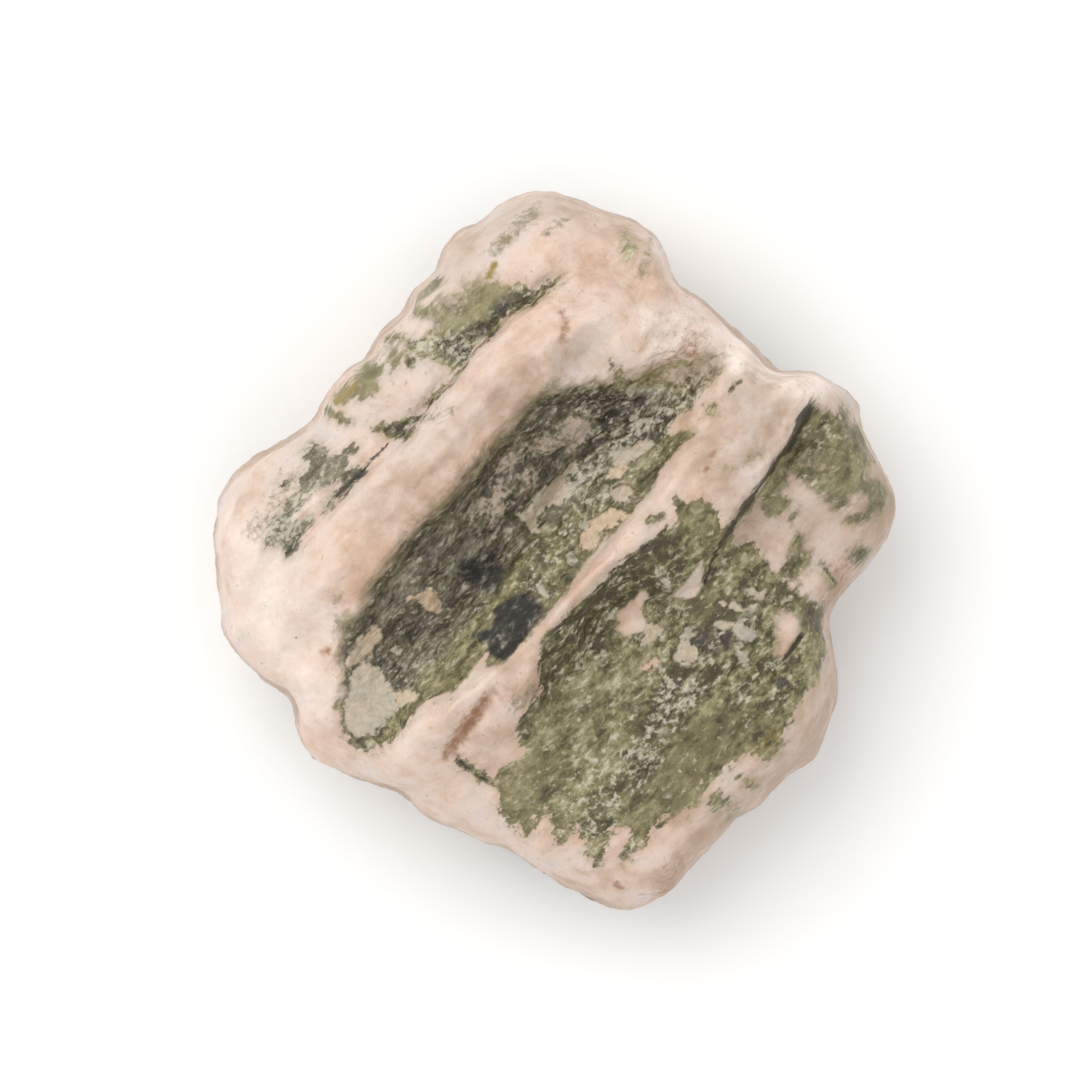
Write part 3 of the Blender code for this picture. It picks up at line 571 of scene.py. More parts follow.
    "headFrost": ({"frost": (0.18, 0.9, 2.6)}, [(625, 425), (650, 400), (690, 385)]),
    "wallFrost": ({"frost": (0.32, 0.9, 2.4)}, [
        (535, 580), (560, 545), (590, 510), (620, 475), (650, 445), (680, 405),
    ]),
    "bladeFrost": ({"frost": (0.5, 0.6, 1.4)}, [(575, 490), (605, 462), (640, 428)]),
    "mouthFrost": ({"frost": (0.12, 1.0, 3.0)}, [(400, 690), (385, 640), (420, 620)]),
    "terraceFrost": ({"frost": (0.45, 0.7, 1.8)}, [(418, 340), (445, 345), (470, 350)]),
    "lowerFrost": ({"frost": (0.5, 0.8, 2.6)}, [(275, 540), (295, 515), (318, 500)]),
    "forkFrost": ({"frost": (0.6, 0.3, 0.6)}, [(622, 754), (636, 750), (645, 758), (654, 758)]),
    "floorFrost": ({"frost": (0.18, 1.0, 4.0)}, [(400, 650), (440, 610), (480, 580)]),
    "darkHeadFrost": ({"frost": (0.22, 1.0, 3.0)}, [(550, 400), (590, 400), (620, 410)]),
    "lobeFrost": ({"frost": (0.45, 0.5, 0.9)}, [(819, 448), (824, 438), (826, 426)]),
    # how fibrous and how even the tourmaline is
    "troughFibres": ({"fibrous": (0.9, 1.0, 7.0)}, [(370, 690), (430, 610), (520, 480)]),
    "footCalm": ({"calm": (0.35, 1.0, 3.0)}, [(676, 790), (694, 760), (716, 738)]),
    "leftFootCalm": ({"calm": (0.25, 1.0, 3.0)}, [(512, 812), (525, 785), (545, 765)]),
    "cornerCalm": ({"calm": (0.5, 0.6, 2.0)}, [(812, 604), (816, 626)]),
    "oliveCalm": ({"calm": (0.1, 1.0, 3.0)}, [(570, 705), (600, 690), (635, 670)]),
    # the feldspar's colour
    # paler, milkier feldspar on the left side: partly its own colour, partly painted light where the light
    # falls most
    "leftSide": ({"warmth": (0.36, 3.0), "fair": (0.5, 3.0)}, [
        (215, 500), (300, 550), (340, 600), (340, 760), (290, 700), (215, 600),
    ]),
    "terraceLilac": ({"warmth": (0.2, 2.0, 4.0)}, [(250, 490), (330, 440), (420, 370)]),
    "crestPeach": ({"warmth": (0.6, 1.6, 3.0)}, [(355, 590), (400, 530), (440, 480), (480, 440), (530, 395)]),
    "facetGrey": ({"warmth": (0.08, 0.9)}, [
        (566, 345), (576, 338), (592, 340), (606, 352), (612, 366), (604, 380), (590, 384), (570, 384),
        (552, 382), (548, 368), (556, 354),
    ]),
    "topPeach": ({"warmth": (0.62, 2.0, 4.5)}, [(550, 270), (590, 245)]),
    "topGrey": ({"warmth": (0.2, 2.0, 3.5)}, [(455, 260), (500, 215), (540, 200)]),
    "plateauPeach": ({"warmth": (0.8, 1.4, 2.6)}, [(700, 430), (745, 425), (770, 415)]),
    "plateauGrey": ({"warmth": (0.22, 1.4, 3.0)}, [(735, 500), (760, 440), (745, 350)]),
    "ridgePeach": ({"warmth": (0.72, 0.8, 1.4)}, [(575, 590), (610, 550), (630, 535)]),
    "bottomWhite": ({"warmth": (0.45, 1.4, 3.0)}, [(410, 745), (440, 735)]),
    "bottomPeach": ({"warmth": (0.7, 1.6, 3.0)}, [(440, 790), (450, 770), (500, 740)]),
    "slabPeach": ({"warmth": (0.8, 1.0, 2.4)}, [(615, 615), (640, 665)]),
    # paler, duller and rougher feldspar; the dull washes are also painted shade, darkest on the right side
    "ridgeEndFair": ({"fair": (0.35, 1.5, 3.0)}, [(405, 745), (440, 700), (480, 672)]),
    "ledgeFair": ({"fair": (0.25, 0.8, 1.5)}, [(500, 345), (520, 330), (545, 325)]),
    "cornerFair": ({"fair": (1.0, 1.0, 2.4)}, [(725, 340), (760, 375), (810, 390)]),
    "bootFair": ({"fair": (0.3, 0.6, 2.2)}, [(642, 598), (632, 625)]),
    "wedgeFair": ({"fair": (0.5, 0.6, 1.6)}, [(698, 570), (688, 592)]),
    "topDullAndShade": ({"dusty": (0.55, 1.6)}, [
        (440, 270), (460, 225), (520, 190), (580, 198), (645, 225), (665, 275), (630, 262), (590, 235),
        (540, 222), (490, 250), (460, 290),
    ]),
    "ridgeDullAndShade": ({"dusty": (0.58, 1.5, 3.2)}, [(378, 512), (400, 488), (430, 455), (480, 410), (530, 378)]),
    "plateauDullAndShade": ({"dusty": (0.62, 1.6)}, [
        (690, 430), (720, 395), (755, 365), (800, 385), (795, 420), (760, 470), (725, 505), (700, 480),
    ]),
    "rightDullAndShade": ({"dusty": (0.8, 1.8, 3.6)}, [
        (862, 400), (885, 440), (892, 490), (868, 550), (838, 600), (842, 690), (815, 745), (760, 795),
        (700, 870), (660, 905),
    ]),
    "bottomDullAndShade": ({"dusty": (0.35, 1.5, 2.6)}, [
        (330, 775), (410, 790), (450, 825), (560, 880), (640, 905),
    ]),
    "leftDullAndShade": ({"dusty": (0.1, 1.2, 1.8)}, [
        (300, 425), (245, 465), (215, 500), (215, 600), (235, 655), (295, 705), (315, 765),
    ]),
    "facetDullAndShade": ({"dusty": (0.42, 1.2, 3.0)}, [(560, 365), (590, 360)]),
    "lobeDullAndShade": ({"dusty": (0.5, 1.5, 4.5)}, [(750, 530), (800, 520), (845, 540)]),
    "ridgeEnd": ({"dusty": (0.4, 1.4), "warmth": (0.68, 1.4)}, [
        (405, 745), (440, 702), (480, 672), (520, 655), (535, 690), (515, 730), (500, 760), (455, 752),
        (430, 770),
    ]),
    "lowerPale": ({"warmth": (0.1, 0.8, 2.2)}, [(280, 525), (310, 500), (345, 480)]),
    "lowerFair": ({"fair": (0.7, 0.8, 1.6)}, [(285, 525), (312, 503)]),
    "pitted": ({"fair": (0.75, 1.0), "dusty": (0.1, 1.0), "bumpy": (2.6, 1.0)}, [
        (640, 312), (672, 300), (700, 303), (715, 345), (650, 362),
    ]),
    "topRough": ({"bumpy": (0.9, 1.6, 5.0)}, [(580, 280), (640, 290)]),
    # stains on the feldspar
    "slopeEndOchre": ({"ochre": (0.5, 0.6, 0.9)}, [(756, 752), (768, 742), (774, 730)]),
    "creviceBrown": ({"stain": (0.85, 0.7)}, [
        (486, 693), (490, 699), (484, 711), (474, 724), (464, 738), (454, 749), (446, 756), (442, 752),
        (451, 738), (461, 723), (471, 709), (480, 699),
    ]),
    "crevicePoint": ({"stain": (0.62, 0.5, 0.6)}, [(563, 342), (566, 328), (563, 316)]),
    "bottomBrown": ({"stain": (0.5, 1.4, 1.6)}, [(660, 900), (672, 880), (682, 868)]),
    "rightBrown": ({"stain": (0.45, 1.2, 2.0)}, [(828, 610), (838, 592), (842, 572)]),
    "leftDot": ({"stain": (0.7, 0.4, 0.5)}, [(325, 652), (330, 649)]),
    "plateauRust": ({"stain": (0.9, 0.25, 0.25)}, [(710, 456), (713, 452)]),
    "plateauRustLow": ({"stain": (0.9, 0.25, 0.15)}, [(705, 472), (707, 469)]),
    "slopeRust": ({"stain": (0.35, 1.0, 1.2)}, [(590, 700), (605, 670)]),
    "pitBrown": ({"stain": (0.45, 0.8, 1.0)}, [(685, 350), (697, 336)]),
    "bottomSpeck": ({"stain": (0.7, 0.3, 0.4)}, [(617, 884), (622, 888)]),
    "ochreTerrace": ({"ochre": (0.85, 0.35, 0.45)}, [(489, 276), (496, 265)]),
    "ochreEdge": ({"ochre": (0.85, 0.35, 0.5)}, [(337, 402), (347, 394), (355, 387)]),
    "ochreSlope": ({"ochre": (0.25, 0.9, 1.2)}, [(760, 754), (776, 738)]),
    "ochreHead": ({"ochre": (0.25, 0.7, 1.0)}, [(640, 384), (672, 372), (690, 362)]),
    "greenStreakTop": ({"moss": (0.6, 0.7, 0.9)}, [(496, 252), (508, 238), (520, 225), (532, 214)]),
    "greyStreakTop": ({"moss": (0.5, 0.6, 0.6)}, [(545, 236), (556, 226), (565, 219)]),
    "mossEdgeTop": ({"moss": (0.45, 0.5, 0.4)}, [(642, 270), (648, 255), (650, 240)]),
    "mossSpotTop": ({"moss": (0.45, 0.6, 0.6)}, [(640, 276), (645, 268)]),
    "mossTerrace": ({"moss": (0.35, 1.0, 1.6)}, [(385, 352), (400, 342)]),
    "mossLower": ({"moss": (0.35, 1.0, 1.4)}, [(255, 530), (270, 515), (290, 480)]),
    "mossLedge": ({"moss": (0.5, 0.5, 0.6)}, [(420, 420), (438, 416), (453, 412)]),
    "mossPlateau": ({"moss": (0.45, 0.5, 0.4)}, [(726, 470), (742, 466)]),
    "mossPlateauTop": ({"moss": (0.4, 0.6, 0.6)}, [(745, 462), (755, 455), (765, 452)]),
    "mossMouth": ({"moss": (0.5, 0.6, 0.5)}, [(336, 600), (340, 595)]),
    "mossMouthLow": ({"moss": (0.7, 0.4, 0.4)}, [(336, 706), (339, 701)]),
    "mossFoot": ({"moss": (0.4, 1.0, 1.4)}, [(515, 700), (530, 692)]),
    "mossRim": ({"moss": (0.45, 0.6, 0.8)}, [(728, 818), (738, 808)]),
    "cornerRust": ({"stain": (0.4, 0.7, 1.2)}, [(655, 374), (672, 362), (690, 352)]),
    # darker along the foot of the pale crumb ledge
    "ledgeCrumbFootDark": ({"grime": (0.7, 0.3, 0.3)}, [
        (486, 592), (504, 572), (519, 553), (528, 541), (523, 528), (514, 517),
    ]),
    # white flecks in the feldspar: its pale crystals, and painted highlights for its cleavage glints
    "leftGlints": ({"glint": (0.45, 2.0)}, [
        (225, 560), (250, 540), (300, 560), (320, 620), (310, 690), (270, 660), (235, 610),
    ]),
    "pitGlints": ({"glint": (0.25, 1.0)}, [(640, 310), (700, 300), (715, 345), (650, 362)]),
}

# dark cracks: the width of a stroke in mm, or 0 for an outline
cracks = {
    # the line under the step: a crack, and painted shadow that the step casts on the lobe below
    "step": (0, [
        (811, 403), (803, 410), (797, 419), (790, 433), (782, 447), (776, 456), (767, 468), (757, 482),
        (750, 491), (742, 502), (736, 512), (727, 525), (721, 538), (713, 551), (707, 567), (702, 583),
        (704, 584), (711, 569), (718, 554), (725, 541), (732, 530), (740, 518), (749, 505), (757, 493),
        (765, 481), (772, 473), (778, 462), (787, 452), (794, 443), (800, 432), (808, 420), (813, 410),
    ]),
    "ledgeUpper": (0.2, [
        (424, 414), (432, 406), (440, 398), (450, 387), (460, 375), (468, 363), (478, 350), (497, 331),
    ]),
    "ledgeMiddle": (0.2, [
        (338, 496), (347, 487), (356, 478), (365, 469), (374, 461), (382, 453), (389, 446),
    ]),
    "ledgeSpot": (0, [(355, 477), (361, 473), (366, 468), (369, 471), (363, 478), (357, 483)]),
    "slope": (0, [(779, 664), (784, 654), (793, 642), (800, 634), (803, 636), (796, 646), (787, 658)]),
    "slopeHole": (0, [(775, 684), (779, 677), (786, 677), (790, 683), (784, 688)]),
    "greenLine": (0.18, [(458, 758), (468, 766), (480, 776), (494, 785)]),
    "lobeLine": (0.16, [(825, 568), (829, 576), (834, 583)]),
    "spot": (0, [(713, 720), (719, 717), (724, 720), (722, 724), (716, 724)]),
}

# painted shade: the stone is darker towards its foot, and on its steep faces up to the top, where they turn
# from the light; heights in mm
paintedRimShade = {"amount": 0.7, "low": 7.0, "high": 13.0, "top": 17.0, "steep": 0.05, "flat": 0.3}

# the channels, and what they hold where nothing is washed over them
plainValues = {
    "soft": 0.12,  # mm over which the tourmaline's border fades
    "ragged": 0.6,  # mm that it strays
    "sheer": 0.1,  # how much feldspar shows through the tourmaline
    "tone": 0.4,  # the tourmaline's, 0 dark to 1 pale
    "olive": 0.9,  # 0 grey to 1 olive green
    "grainy": 0.6,  # 0 smooth to 1 granular
    "veil": 0.0,  # feldspar showing through the tourmaline on the trough's wall, painted dimmer as in shade
    "frost": 0.06,  # pale granules on the tourmaline
    "calm": 0.0,  # how even the tourmaline's tone is
    "fibrous": 0.3,
    "bumpy": 0.25,  # the feldspar's coarse bumps
    "warmth": 0.5,  # the feldspar's, 0 grey to 1 peach
    "fair": 0.15,  # milky feldspar
    "dusty": 0.15,  # dull feldspar, and painted shade
    "stain": 0.0,  # rust
    "ochre": 0.0,
    "moss": 0.0,  # green traces in the feldspar
    "grime": 0.0,
    "glint": 0.1,
    "halo": 0.35,  # the feldspar's brownish hem beside the tourmaline
}

# Relief in mm: grooves have a depth and a width; steps have a rise towards the lower right of the
# photograph, the distance over which it happens, and how far the change reaches
grooves = {
    "ledgeTop": (0.2, 0.4, [(530, 303), (545, 290), (560, 280)]),
    "ledgeUpper": (0.3, 0.45, [(428, 408), (440, 396), (452, 380), (465, 362), (478, 346), (500, 323)]),
    "ledgeMiddle": (0.12, 0.3, [(400, 438), (412, 424), (428, 408)]),
    "ledgeCrack": (0.55, 0.35, [(357, 480), (366, 469), (378, 460), (388, 450), (396, 446)]),
    "ledgeLower": (0.3, 0.4, [(322, 513), (335, 503), (347, 491), (358, 478)]),
    "stepShadow": (0.7, 0.4, [
        (718, 542), (726, 530), (738, 511), (752, 494), (766, 476), (780, 458), (792, 440), (802, 421),
        (813, 403),
    ]),
    "greenCrack": (0.35, 0.4, [(458, 758), (474, 770), (486, 780), (500, 789)]),
    "brownCrevice": (0.5, 0.8, [(448, 755), (458, 738), (470, 722), (481, 708), (492, 692)]),
    "headCrevice": (0.3, 0.45, [(562, 342), (566, 329), (563, 314)]),
    "headCrack": (0.1, 0.3, [(560, 395), (546, 385), (540, 372), (534, 360)]),
    "slopeCrack": (0.35, 0.4, [(782, 660), (790, 650), (801, 635)]),
    "lobeCrack": (0.2, 0.3, [(835, 584), (829, 575), (824, 567)]),
    "ledgeCrumbFoot": (0.4, 0.45, [(487, 592), (505, 572), (520, 553), (529, 541), (522, 527), (513, 516)]),
    "wedgeFoot": (0.25, 0.35, [(703, 580), (709, 568), (716, 556)]),
    "bottomCrack": (0.2, 0.35, [(508, 706), (500, 698), (494, 690)]),
}
steps = {
    "ledge": (0.8, 0.15, 0.9, [
        (285, 552), (300, 538), (320, 515), (340, 497), (358, 480), (372, 467), (385, 452), (400, 438),
        (430, 410), (440, 400), (455, 380), (465, 365), (475, 350), (500, 323), (530, 303), (545, 290),
        (560, 280),
    ]),
    "troughRim": (-0.4, 0.7, 1.4, [
        (345, 660), (345, 635), (360, 605), (375, 580), (395, 555), (415, 530), (440, 505), (455, 490),
        (480, 460), (500, 430), (520, 405), (545, 388),
    ]),
    "step": (-1.0, 0.12, 0.9, [
        (716, 545), (724, 531), (736, 512), (750, 495), (764, 477), (778, 459), (790, 441), (800, 422),
        (811, 404),
    ]),
    "crumbLedge": (0.5, 0.18, 0.8, [(487, 592), (505, 572), (520, 553), (535, 540), (550, 500), (577, 464)]),
    "ridgeLeft": (0.35, 0.2, 0.6, [
        (470, 672), (500, 663), (530, 632), (560, 598), (590, 563), (620, 527), (650, 490), (660, 467),
        (690, 437),
    ]),
    "ridgeRight": (-0.5, 0.25, 0.8, [(540, 680), (545, 640), (572, 605), (605, 573), (640, 547), (680, 520)]),
}
stepEnds = 1.5  # mm over which a step begins and ends
reliefAbove = 10.0  # mm, the height above which there are grooves, steps and pits
outlineGrowth = 0.1  # mm that the tourmaline reaches beyond its traced outlines
farthest = 4.0  # mm, where the distances from the borders are cut off
crumbRise = 0.14  # mm that pale crumbs, feldspar islands and black crystals stand above the green
riseEdges = {"pale": (-0.12, 0.15), "islands": (-0.2, 0.2), "black": (-0.2, 0.2)}  # mm over which they rise
pits = {
    "stroke": [(655, 350), (675, 325), (700, 312)],
    "width": 3.0,  # mm, as all that follows
    "reach": 1.2,
    "depth": 0.6,
    "size": 0.8,
    "stretch": 1.4,
    "level": 0.2,
}
lumps = (  # size and height in mm, and the stretch along the grain, over the whole stone
    (2.4, 0.22, 1.3),
    (1.1, 0.13, 1.3),
    (0.5, 0.05, 1.0),
)
greenReach = 0.3  # mm over which the tourmaline's own relief sets in at its border
fibreRelief = {"size": 0.55, "height": 0.07, "stretch": 4.0, "grainLoss": 0.5}
grainRelief = {"size": 0.75, "height": 0.22, "fineShare": 0.6}
seenCuts = 4  # the edges of the solid's upper side are cut so often, which brings its points 0.2 mm apart
hiddenCuts = 2
seenAbove = 7.0  # mm
weldReach = 1e-6  # m
smoothRounds = 10
smoothFactor = 0.5
smoothLoss = 1.006  # makes up for what the smoothing takes off the outline
# where the sides begin: slopes by how far up the normal points, heights in mm
sideBounds = {"steep": (0.03, 0.2), "low": (13.0, 15.0), "under": (5.0, 6.5)}
# tourmaline on the sides, in mm, with a finer noise on it, and none where it would show from above
sideField = {
    "size": 6.5,
    "stretch": 2.2,
    "height": 4.2,
    "level": -0.9,
    "fineShare": 0.45,
    "fineSize": 0.4,
    "fineStretch": 1.3,
    "facing": (-0.15, 0.15),
}
# the channels' middle and swing on the sides, and their noise's size in mm and stretch along the grain
sideWashes = {
    "tone": (0.36, 0.3, 4.0, 2.0),
    "grainy": (0.5, 0.5, 5.0, 1.0),
    "olive": (0.35, 0.4, 7.0, 1.0),
    "warmth": (0.5, 0.45, 8.0, 1.0),
}
# shifts that keep the noises from following each other
shifts = {
    "side": 3.7, "sideFine": 9.1, "tone": 5.3, "grainy": 1.9, "olive": 7.7, "warmth": 2.3, "fibres": 4.1,
    "grains": 6.3, "pits": 8.8,
}


def smoothStep(low, high, values):
    share = np.clip((values - low) / (high - low), 0, 1)
    return share * share * (3 - 2 * share)


# for each point of the plan, its distance in mm from the line, and which side of it it lies on:
# 1 to the right of the line's run, -1 to the left
def lineDistance(pixels, plan, closed=False):
    line = np.array([fromPhoto(pixel) for pixel in pixels])
    ends = np.roll(line, -1, axis=0) if closed else line[1:]
    nearest = np.full(len(plan), np.inf)
    side = np.zeros(len(plan))
    for start, end in zip(line, ends):
        run = end - start
        offset = plan - start
        share = np.clip(offset @ run / (run @ run), 0, 1)
        away = np.hypot(*(offset - share[:, None] * run).T)
        nearer = away < nearest
        nearest[nearer] = away[nearer]
        side[nearer] = np.sign(offset[nearer, 0] * run[1] - offset[nearer, 1] * run[0])
    return nearest, side


# how far inside an outline, or a stroke of a width in mm, each point of the plan lies, in mm, negative
# outside
def insideMark(pixels, plan, width=0):
    nearest, _ = lineDistance(pixels, plan, closed=not width)
    if width:
        return width / 2 - nearest
    corners = np.array([fromPhoto(pixel) for pixel in pixels])
    inside = np.zeros(len(plan), bool)
    for (startX, startY), (endX, endY) in zip(corners, np.roll(corners, -1, axis=0)):
        if startY != endY:
            spans = (startY > plan[:, 1]) != (endY > plan[:, 1])
            crossing = startX + (plan[:, 1] - startY) * (endX - startX) / (endY - startY)
            inside ^= spans & (plan[:, 0] < crossing)
    return np.where(inside, nearest, -nearest)


# the same for the outline, of several, that each point lies deepest in
def insideAny(outlines, plan):
    return np.max([insideMark(pixels, plan) for pixels in outlines.values()], axis=0)


# smooth noise between -1 and 1 at points in mm, with features of one size, stretched along the grain
def noiseAt(points, size, stretch=1.0, shift=0.0):
    turned = np.empty_like(points)
    turned[:, 0] = (points[:, 0] * math.cos(grainTurn) + points[:, 1] * math.sin(grainTurn)) / stretch
    turned[:, 1] = points[:, 0] * math.sin(grainTurn) - points[:, 1] * math.cos(grainTurn)
    turned[:, 2] = points[:, 2]
    return np.array([noise.noise(place) for place in (turned / size + shift).tolist()])


def fineMesh():
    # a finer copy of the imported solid, its facets smoothed away
    mesh = bmesh.new()
    mesh.from_mesh(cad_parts["stone"].data)
    bmesh.ops.remove_doubles(mesh, verts=mesh.verts, dist=weldReach)
    seen = [
        edge for edge in mesh.edges
        if min(vert.co.z for vert in edge.verts) > seenAbove * mm
        and max(face.normal.z for face in edge.link_faces) > 0
    ]
    rest = list(set(mesh.edges) - set(seen))
    bmesh.ops.subdivide_edges(mesh, edges=seen, cuts=seenCuts, use_grid_fill=True)
    rest = [edge for edge in rest if edge.is_valid]
    bmesh.ops.subdivide_edges(mesh, edges=rest, cuts=hiddenCuts, use_grid_fill=True)
    bmesh.ops.triangulate(mesh, faces=[face for face in mesh.faces if len(face.verts) > 3])
    for _ in range(smoothRounds):
        bmesh.ops.smooth_vert(
            mesh, verts=mesh.verts, factor=smoothFactor, use_axis_x=True, use_axis_y=True, use_axis_z=True
        )
    bmesh.ops.scale(mesh, verts=mesh.verts, vec=(smoothLoss, smoothLoss, 1))
    data = bpy.data.meshes.new("greenTourmaline")
    mesh.to_mesh(data)
    mesh.free()
    return data


def readVectors(items, name):
    vectors = np.empty(len(items) * 3, np.float32)
    items.foreach_get(name, vectors)
    return vectors.reshape(-1, 3).astype(float)


# how much a point belongs to the sides and the underside, which the traced marks don't reach
def sideShare(points, normals):
    steep = 1 - smoothStep(*sideBounds["steep"], normals[:, 2])
    low = 1 - smoothStep(*sideBounds["low"], points[:, 2])
    under = 1 - smoothStep(*sideBounds["under"], points[:, 2])
    return np.maximum(steep * low, under)


# the distance inside the tourmaline of the sides, which no photograph shows
def sideTourmaline(points, normals):
    size, stretch = sideField["size"], sideField["stretch"]
    field = noiseAt(points, size, stretch, shifts["side"])
    size, stretch = size * sideField["fineSize"], stretch * sideField["fineStretch"]
    field += sideField["fineShare"] * noiseAt(points, size, stretch, shifts["sideFine"])
    green = sideField["level"] + sideField["height"] * field
    return green - farthest * smoothStep(*sideField["facing"], normals[:, 2])


def mineralMap(points, normals):
    # every channel of the material at every point
    plan = points[:, :2]
    side = sideShare(points, normals)
    channels = {name: np.full(len(points), value) for name, value in plainValues.items()}
    for uses, pixels in washes.values():
        for name, (value, fade, *width) in uses.items():
            share = smoothStep(-fade, fade, insideMark(pixels, plan, *width)) * (1 - side)
            channels[name] += (value - channels[name]) * share
    islands = insideAny(feldsparIslands, plan)
    green = np.minimum(insideAny(tourmalineOutlines, plan) + outlineGrowth, -islands)
    green = green * (1 - side) + sideTourmaline(points, normals) * side
    pale = np.full(len(points), -np.inf)
    tint = np.zeros(len(points))
    for value, outline in paleCrumbs.values():
        inside = insideMark(outline, plan)
        tint[inside > pale] = value
        pale = np.maximum(pale, inside)
    crack = np.max([insideMark(pixels, plan, width) for width, pixels in cracks.values()], axis=0)
    channels["green"] = np.clip(green, -farthest, farthest)
    channels["pale"] = pale
    channels["paleTint"] = tint
    channels["black"] = insideAny(blackCrystals, plan)
    channels["islands"] = np.clip(islands, -farthest, farthest)
    channels["crack"] = crack
    for name in ("pale", "black", "crack"):  # none of them on the sides
        channels[name] = np.clip(channels[name], -farthest, farthest) * (1 - side) - farthest * side
    # painted shade on the low rim and the steep faces, laid over the dull feldspar
    low = 1 - smoothStep(paintedRimShade["low"], paintedRimShade["high"], points[:, 2])
    steep = 1 - smoothStep(paintedRimShade["steep"], paintedRimShade["flat"], normals[:, 2])
    steep *= 1 - smoothStep(paintedRimShade["high"], paintedRimShade["top"], points[:, 2])
    channels["dusty"] = np.maximum(channels["dusty"], paintedRimShade["amount"] * np.maximum(low, steep))
    for name, (middle, swing, size, stretch) in sideWashes.items():
        value = middle + swing * noiseAt(points, size, stretch, shifts[name])
        channels[name] += (value - channels[name]) * side
    return channels


def relief(points, channels):
    # how far each point moves out along its normal, and up or down, in mm
    plan = points[:, :2]
    inGreen = smoothStep(-greenReach, greenReach, channels["green"])
    out = sum(height * noiseAt(points, size, stretch) for size, height, stretch in lumps)
    fibres = noiseAt(points, fibreRelief["size"], fibreRelief["stretch"], shifts["fibres"])
    fibreShare = inGreen * (1 - fibreRelief["grainLoss"] * channels["grainy"])
    out += fibreRelief["height"] * fibres * fibreShare
    grains = noiseAt(points, grainRelief["size"], 1.0, shifts["grains"])
    grains += grainRelief["fineShare"] * noiseAt(points, grainRelief["size"] / 2)
    out += grainRelief["height"] * grains * inGreen * channels["grainy"]
    for name, (low, high) in riseEdges.items():
        out += crumbRise * smoothStep(low, high, channels[name])
    up = np.zeros(len(points))
    for depth, width, line in grooves.values():
        away, _ = lineDistance(line, plan)
        up -= depth * np.exp(-(away / (width / 2)) ** 2)
    for rise, sharpness, reach, line in steps.values():
        away, side = lineDistance(line, plan)
        ends = np.array([fromPhoto(line[0]), fromPhoto(line[-1])])
        nearEnd = np.minimum(*(np.hypot(*(plan - end).T) for end in ends))
        sharp = np.tanh(side * away / sharpness) * np.exp(-(away / reach) ** 2)
        up += rise / 2 * sharp * smoothStep(0.0, stepEnds, nearEnd)
    pitted = smoothStep(-pits["reach"], pits["reach"], insideMark(pits["stroke"], plan, pits["width"]))
    holes = noiseAt(points, pits["size"], pits["stretch"], shifts["pits"]) + pits["level"]
    up -= pits["depth"] * pitted * np.clip(holes, 0, 1)
    return out, up * (points[:, 2] > reliefAbove)


# the material's noises: the size of their features in mm, detail, roughness, and the stretch along the grain
stoneNoises = {
    "clouds": (5.0, 2, 0.5, 1),
    "mottle": (1.6, 3, 0.6, 1),
    "milk": (2.2, 3, 0.55, 3),
    "sugar": (0.5, 2, 0.5, 1),
    "crumble": (0.5, 4, 0.65, 1),
    "splinters": (0.6, 3, 0.6, 4),
    "blades": (1.0, 3, 0.58, 2.2),
    "fibres": (0.22, 2, 0.6, 4),
    "grit": (0.32, 3, 0.6, 1.5),
    "flakes": (0.7, 4, 0.62, 1.6),
}
stoneCrystals = {"size": 0.55, "stretch": 1.7}  # mm, the tourmaline's grains, each with a tone of its own
# values made of a channel or noise, with noises on it that are centred on nought, each with its weight
stoneSums = {
    "edgeMove": ("nought", {"splinters": 2.6, "crumble": 2.0}),
    "warmClouds": ("warmth", {"clouds": 1.6, "mottle": 1.1}),
    "milks": ("fair", {"milk": 1.0, "mottle": 0.6, "crumble": 0.6}),
    "dusts": ("dusty", {"clouds": 0.8, "mottle": 0.9, "crumble": 0.3}),
    "light": ("tone", {"blades": 1.1, "mottle": 0.7}),
    "olives": ("olive", {"mottle": 1.6}),
    "veils": ("veil", {"crumble": 1.8, "mottle": 1.2}),
    "frosty": ("frost", {"grit": 2.0, "crumble": 1.6}),
    "thinness": ("sheer", {"milk": 1.5, "crumble": 1.4}),
    "mossy": ("moss", {"crumble": 1.4}),
    "rusty": ("stain", {"crumble": 1.4}),
    "ochreous": ("ochre", {"crumble": 1.4}),
    "crumbTint": ("paleTint", {"mottle": 1.0}),
}
# distances from the traced borders in mm, roughened: by how much of the edge's move
stoneEdges = {
    "greenEdge": ("green", "ragged"),
    "paleEdge": ("pale", 0.42),
    "blackEdge": ("black", 0.3),
    "crackEdge": ("crack", 0.2),
}
